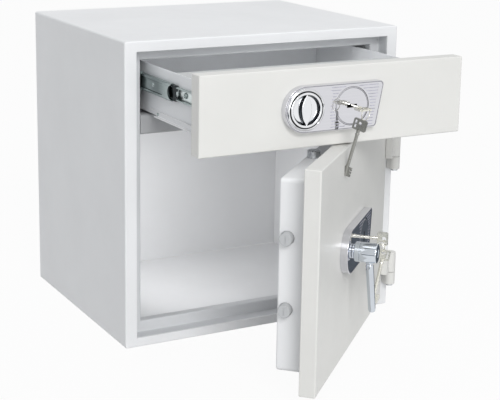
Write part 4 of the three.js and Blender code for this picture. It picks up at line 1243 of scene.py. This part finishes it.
def blend(nodes, links, share, first, second, output):
    mix = nodes.new("ShaderNodeMixShader")
    links.new(share, mix.inputs["Fac"])
    links.new(first, mix.inputs[1])
    links.new(second, mix.inputs[2])
    links.new(mix.outputs[0], output.inputs["Surface"])


def build_floor():
    """The camera and mirror-like surfaces see a nearly white floor with a faint shadow."""
    size = 6.0
    floor = new_object("floor", block((-size, -size, -0.02), (size, size, -0.0002)))
    material, nodes, links, shader = new_material("pale_floor")
    tone = vary_colour(nodes, links, noise_of(nodes, links, 1.5, 2), (0.60, 0.60, 0.60), (0.62, 0.62, 0.62))
    links.new(tone, shader.inputs["Base Color"])
    shader.inputs["Roughness"].default_value = 0.9
    share = nodes.new("ShaderNodeMath")
    share.operation = "MULTIPLY"
    share.inputs[1].default_value = WHITENESS
    links.new(seen_directly(nodes, links), share.inputs[0])
    glow = nodes.new("ShaderNodeEmission")
    output = next(n for n in nodes if n.type == "OUTPUT_MATERIAL")
    blend(nodes, links, share.outputs[0], shader.outputs["BSDF"], glow.outputs[0], output)
    floor.data.materials.append(material)


def build_world():
    """Soft grey light; the camera and mirror-like surfaces see a paler grey."""
    world = bpy.data.worlds.new("studio")
    bpy.context.scene.world = world
    world.use_nodes = True
    nodes = world.node_tree.nodes
    links = world.node_tree.links
    nodes.clear()
    output = nodes.new("ShaderNodeOutputWorld")
    soft = nodes.new("ShaderNodeBackground")
    soft.inputs["Color"].default_value = (0.96, 0.98, 1.0, 1)
    soft.inputs["Strength"].default_value = 0.58
    pale = nodes.new("ShaderNodeBackground")
    pale.inputs["Strength"].default_value = 1.0
    blend(nodes, links, seen_directly(nodes, links), soft.outputs[0], pale.outputs[0], output)


def dark_card(name, low, high):
    """A thin slate-coloured board that only mirror-like surfaces see."""
    card = new_object(name, block(low, high))
    card.data.materials.append(CARD)
    card.visible_camera = False
    card.visible_diffuse = False
    card.visible_shadow = False


def area_light(name, place, target, size, power):
    data = bpy.data.lights.new(name, "AREA")
    data.shape = "RECTANGLE"
    data.size, data.size_y = size
    data.energy = power
    lamp = bpy.data.objects.new(name, data)
    lamp.location = place
    aim = Vector(target) - Vector(place)
    lamp.rotation_euler = aim.to_track_quat("-Z", "Y").to_euler()
    bpy.context.scene.collection.objects.link(lamp)
    return lamp


def hidden_fill(name, place, target, size, power):
    """Soft light for a hollow that the studio lamps hardly reach; it isn't seen itself."""
    lamp = area_light(name, place, target, size, power)
    lamp.data.spread = math.radians(140)
    lamp.visible_camera = False
    lamp.visible_glossy = False


build_camera()
build_floor()
build_world()
dark_card("card_right", (0.36, -0.55, 0.001), (1.9, 1.0, 0.003))
dark_card("card_left", (-2.1, -1.35, 0.001), (-0.55, 0.35, 0.003))
dark_card("card_above", (-1.7, -0.9, 1.9), (-0.7, 0.2, 1.92))
area_light("key", (-1.2, -5.0, 3.6), (0, 0, 0.25), (2.4, 2.0), 150)
area_light("front", (-0.5, -4.5, 0.5), (0, 0, 0.2), (2.0, 1.0), 26)
area_light("top", (0.0, 0.0, 2.6), (0, -0.1, 0.3), (1.6, 1.6), 8)
hidden_fill("vault_fill", (-0.16, -0.02, 0.24), (0.16, 0.10, 0.04), (0.26, 0.18), 0.40)
hidden_fill("drawer_fill", (0, -0.12, 0.462), (0, -0.36, 0.40), (0.30, 0.02), 0.12)
bpy.context.scene.view_settings.view_transform = "Standard"
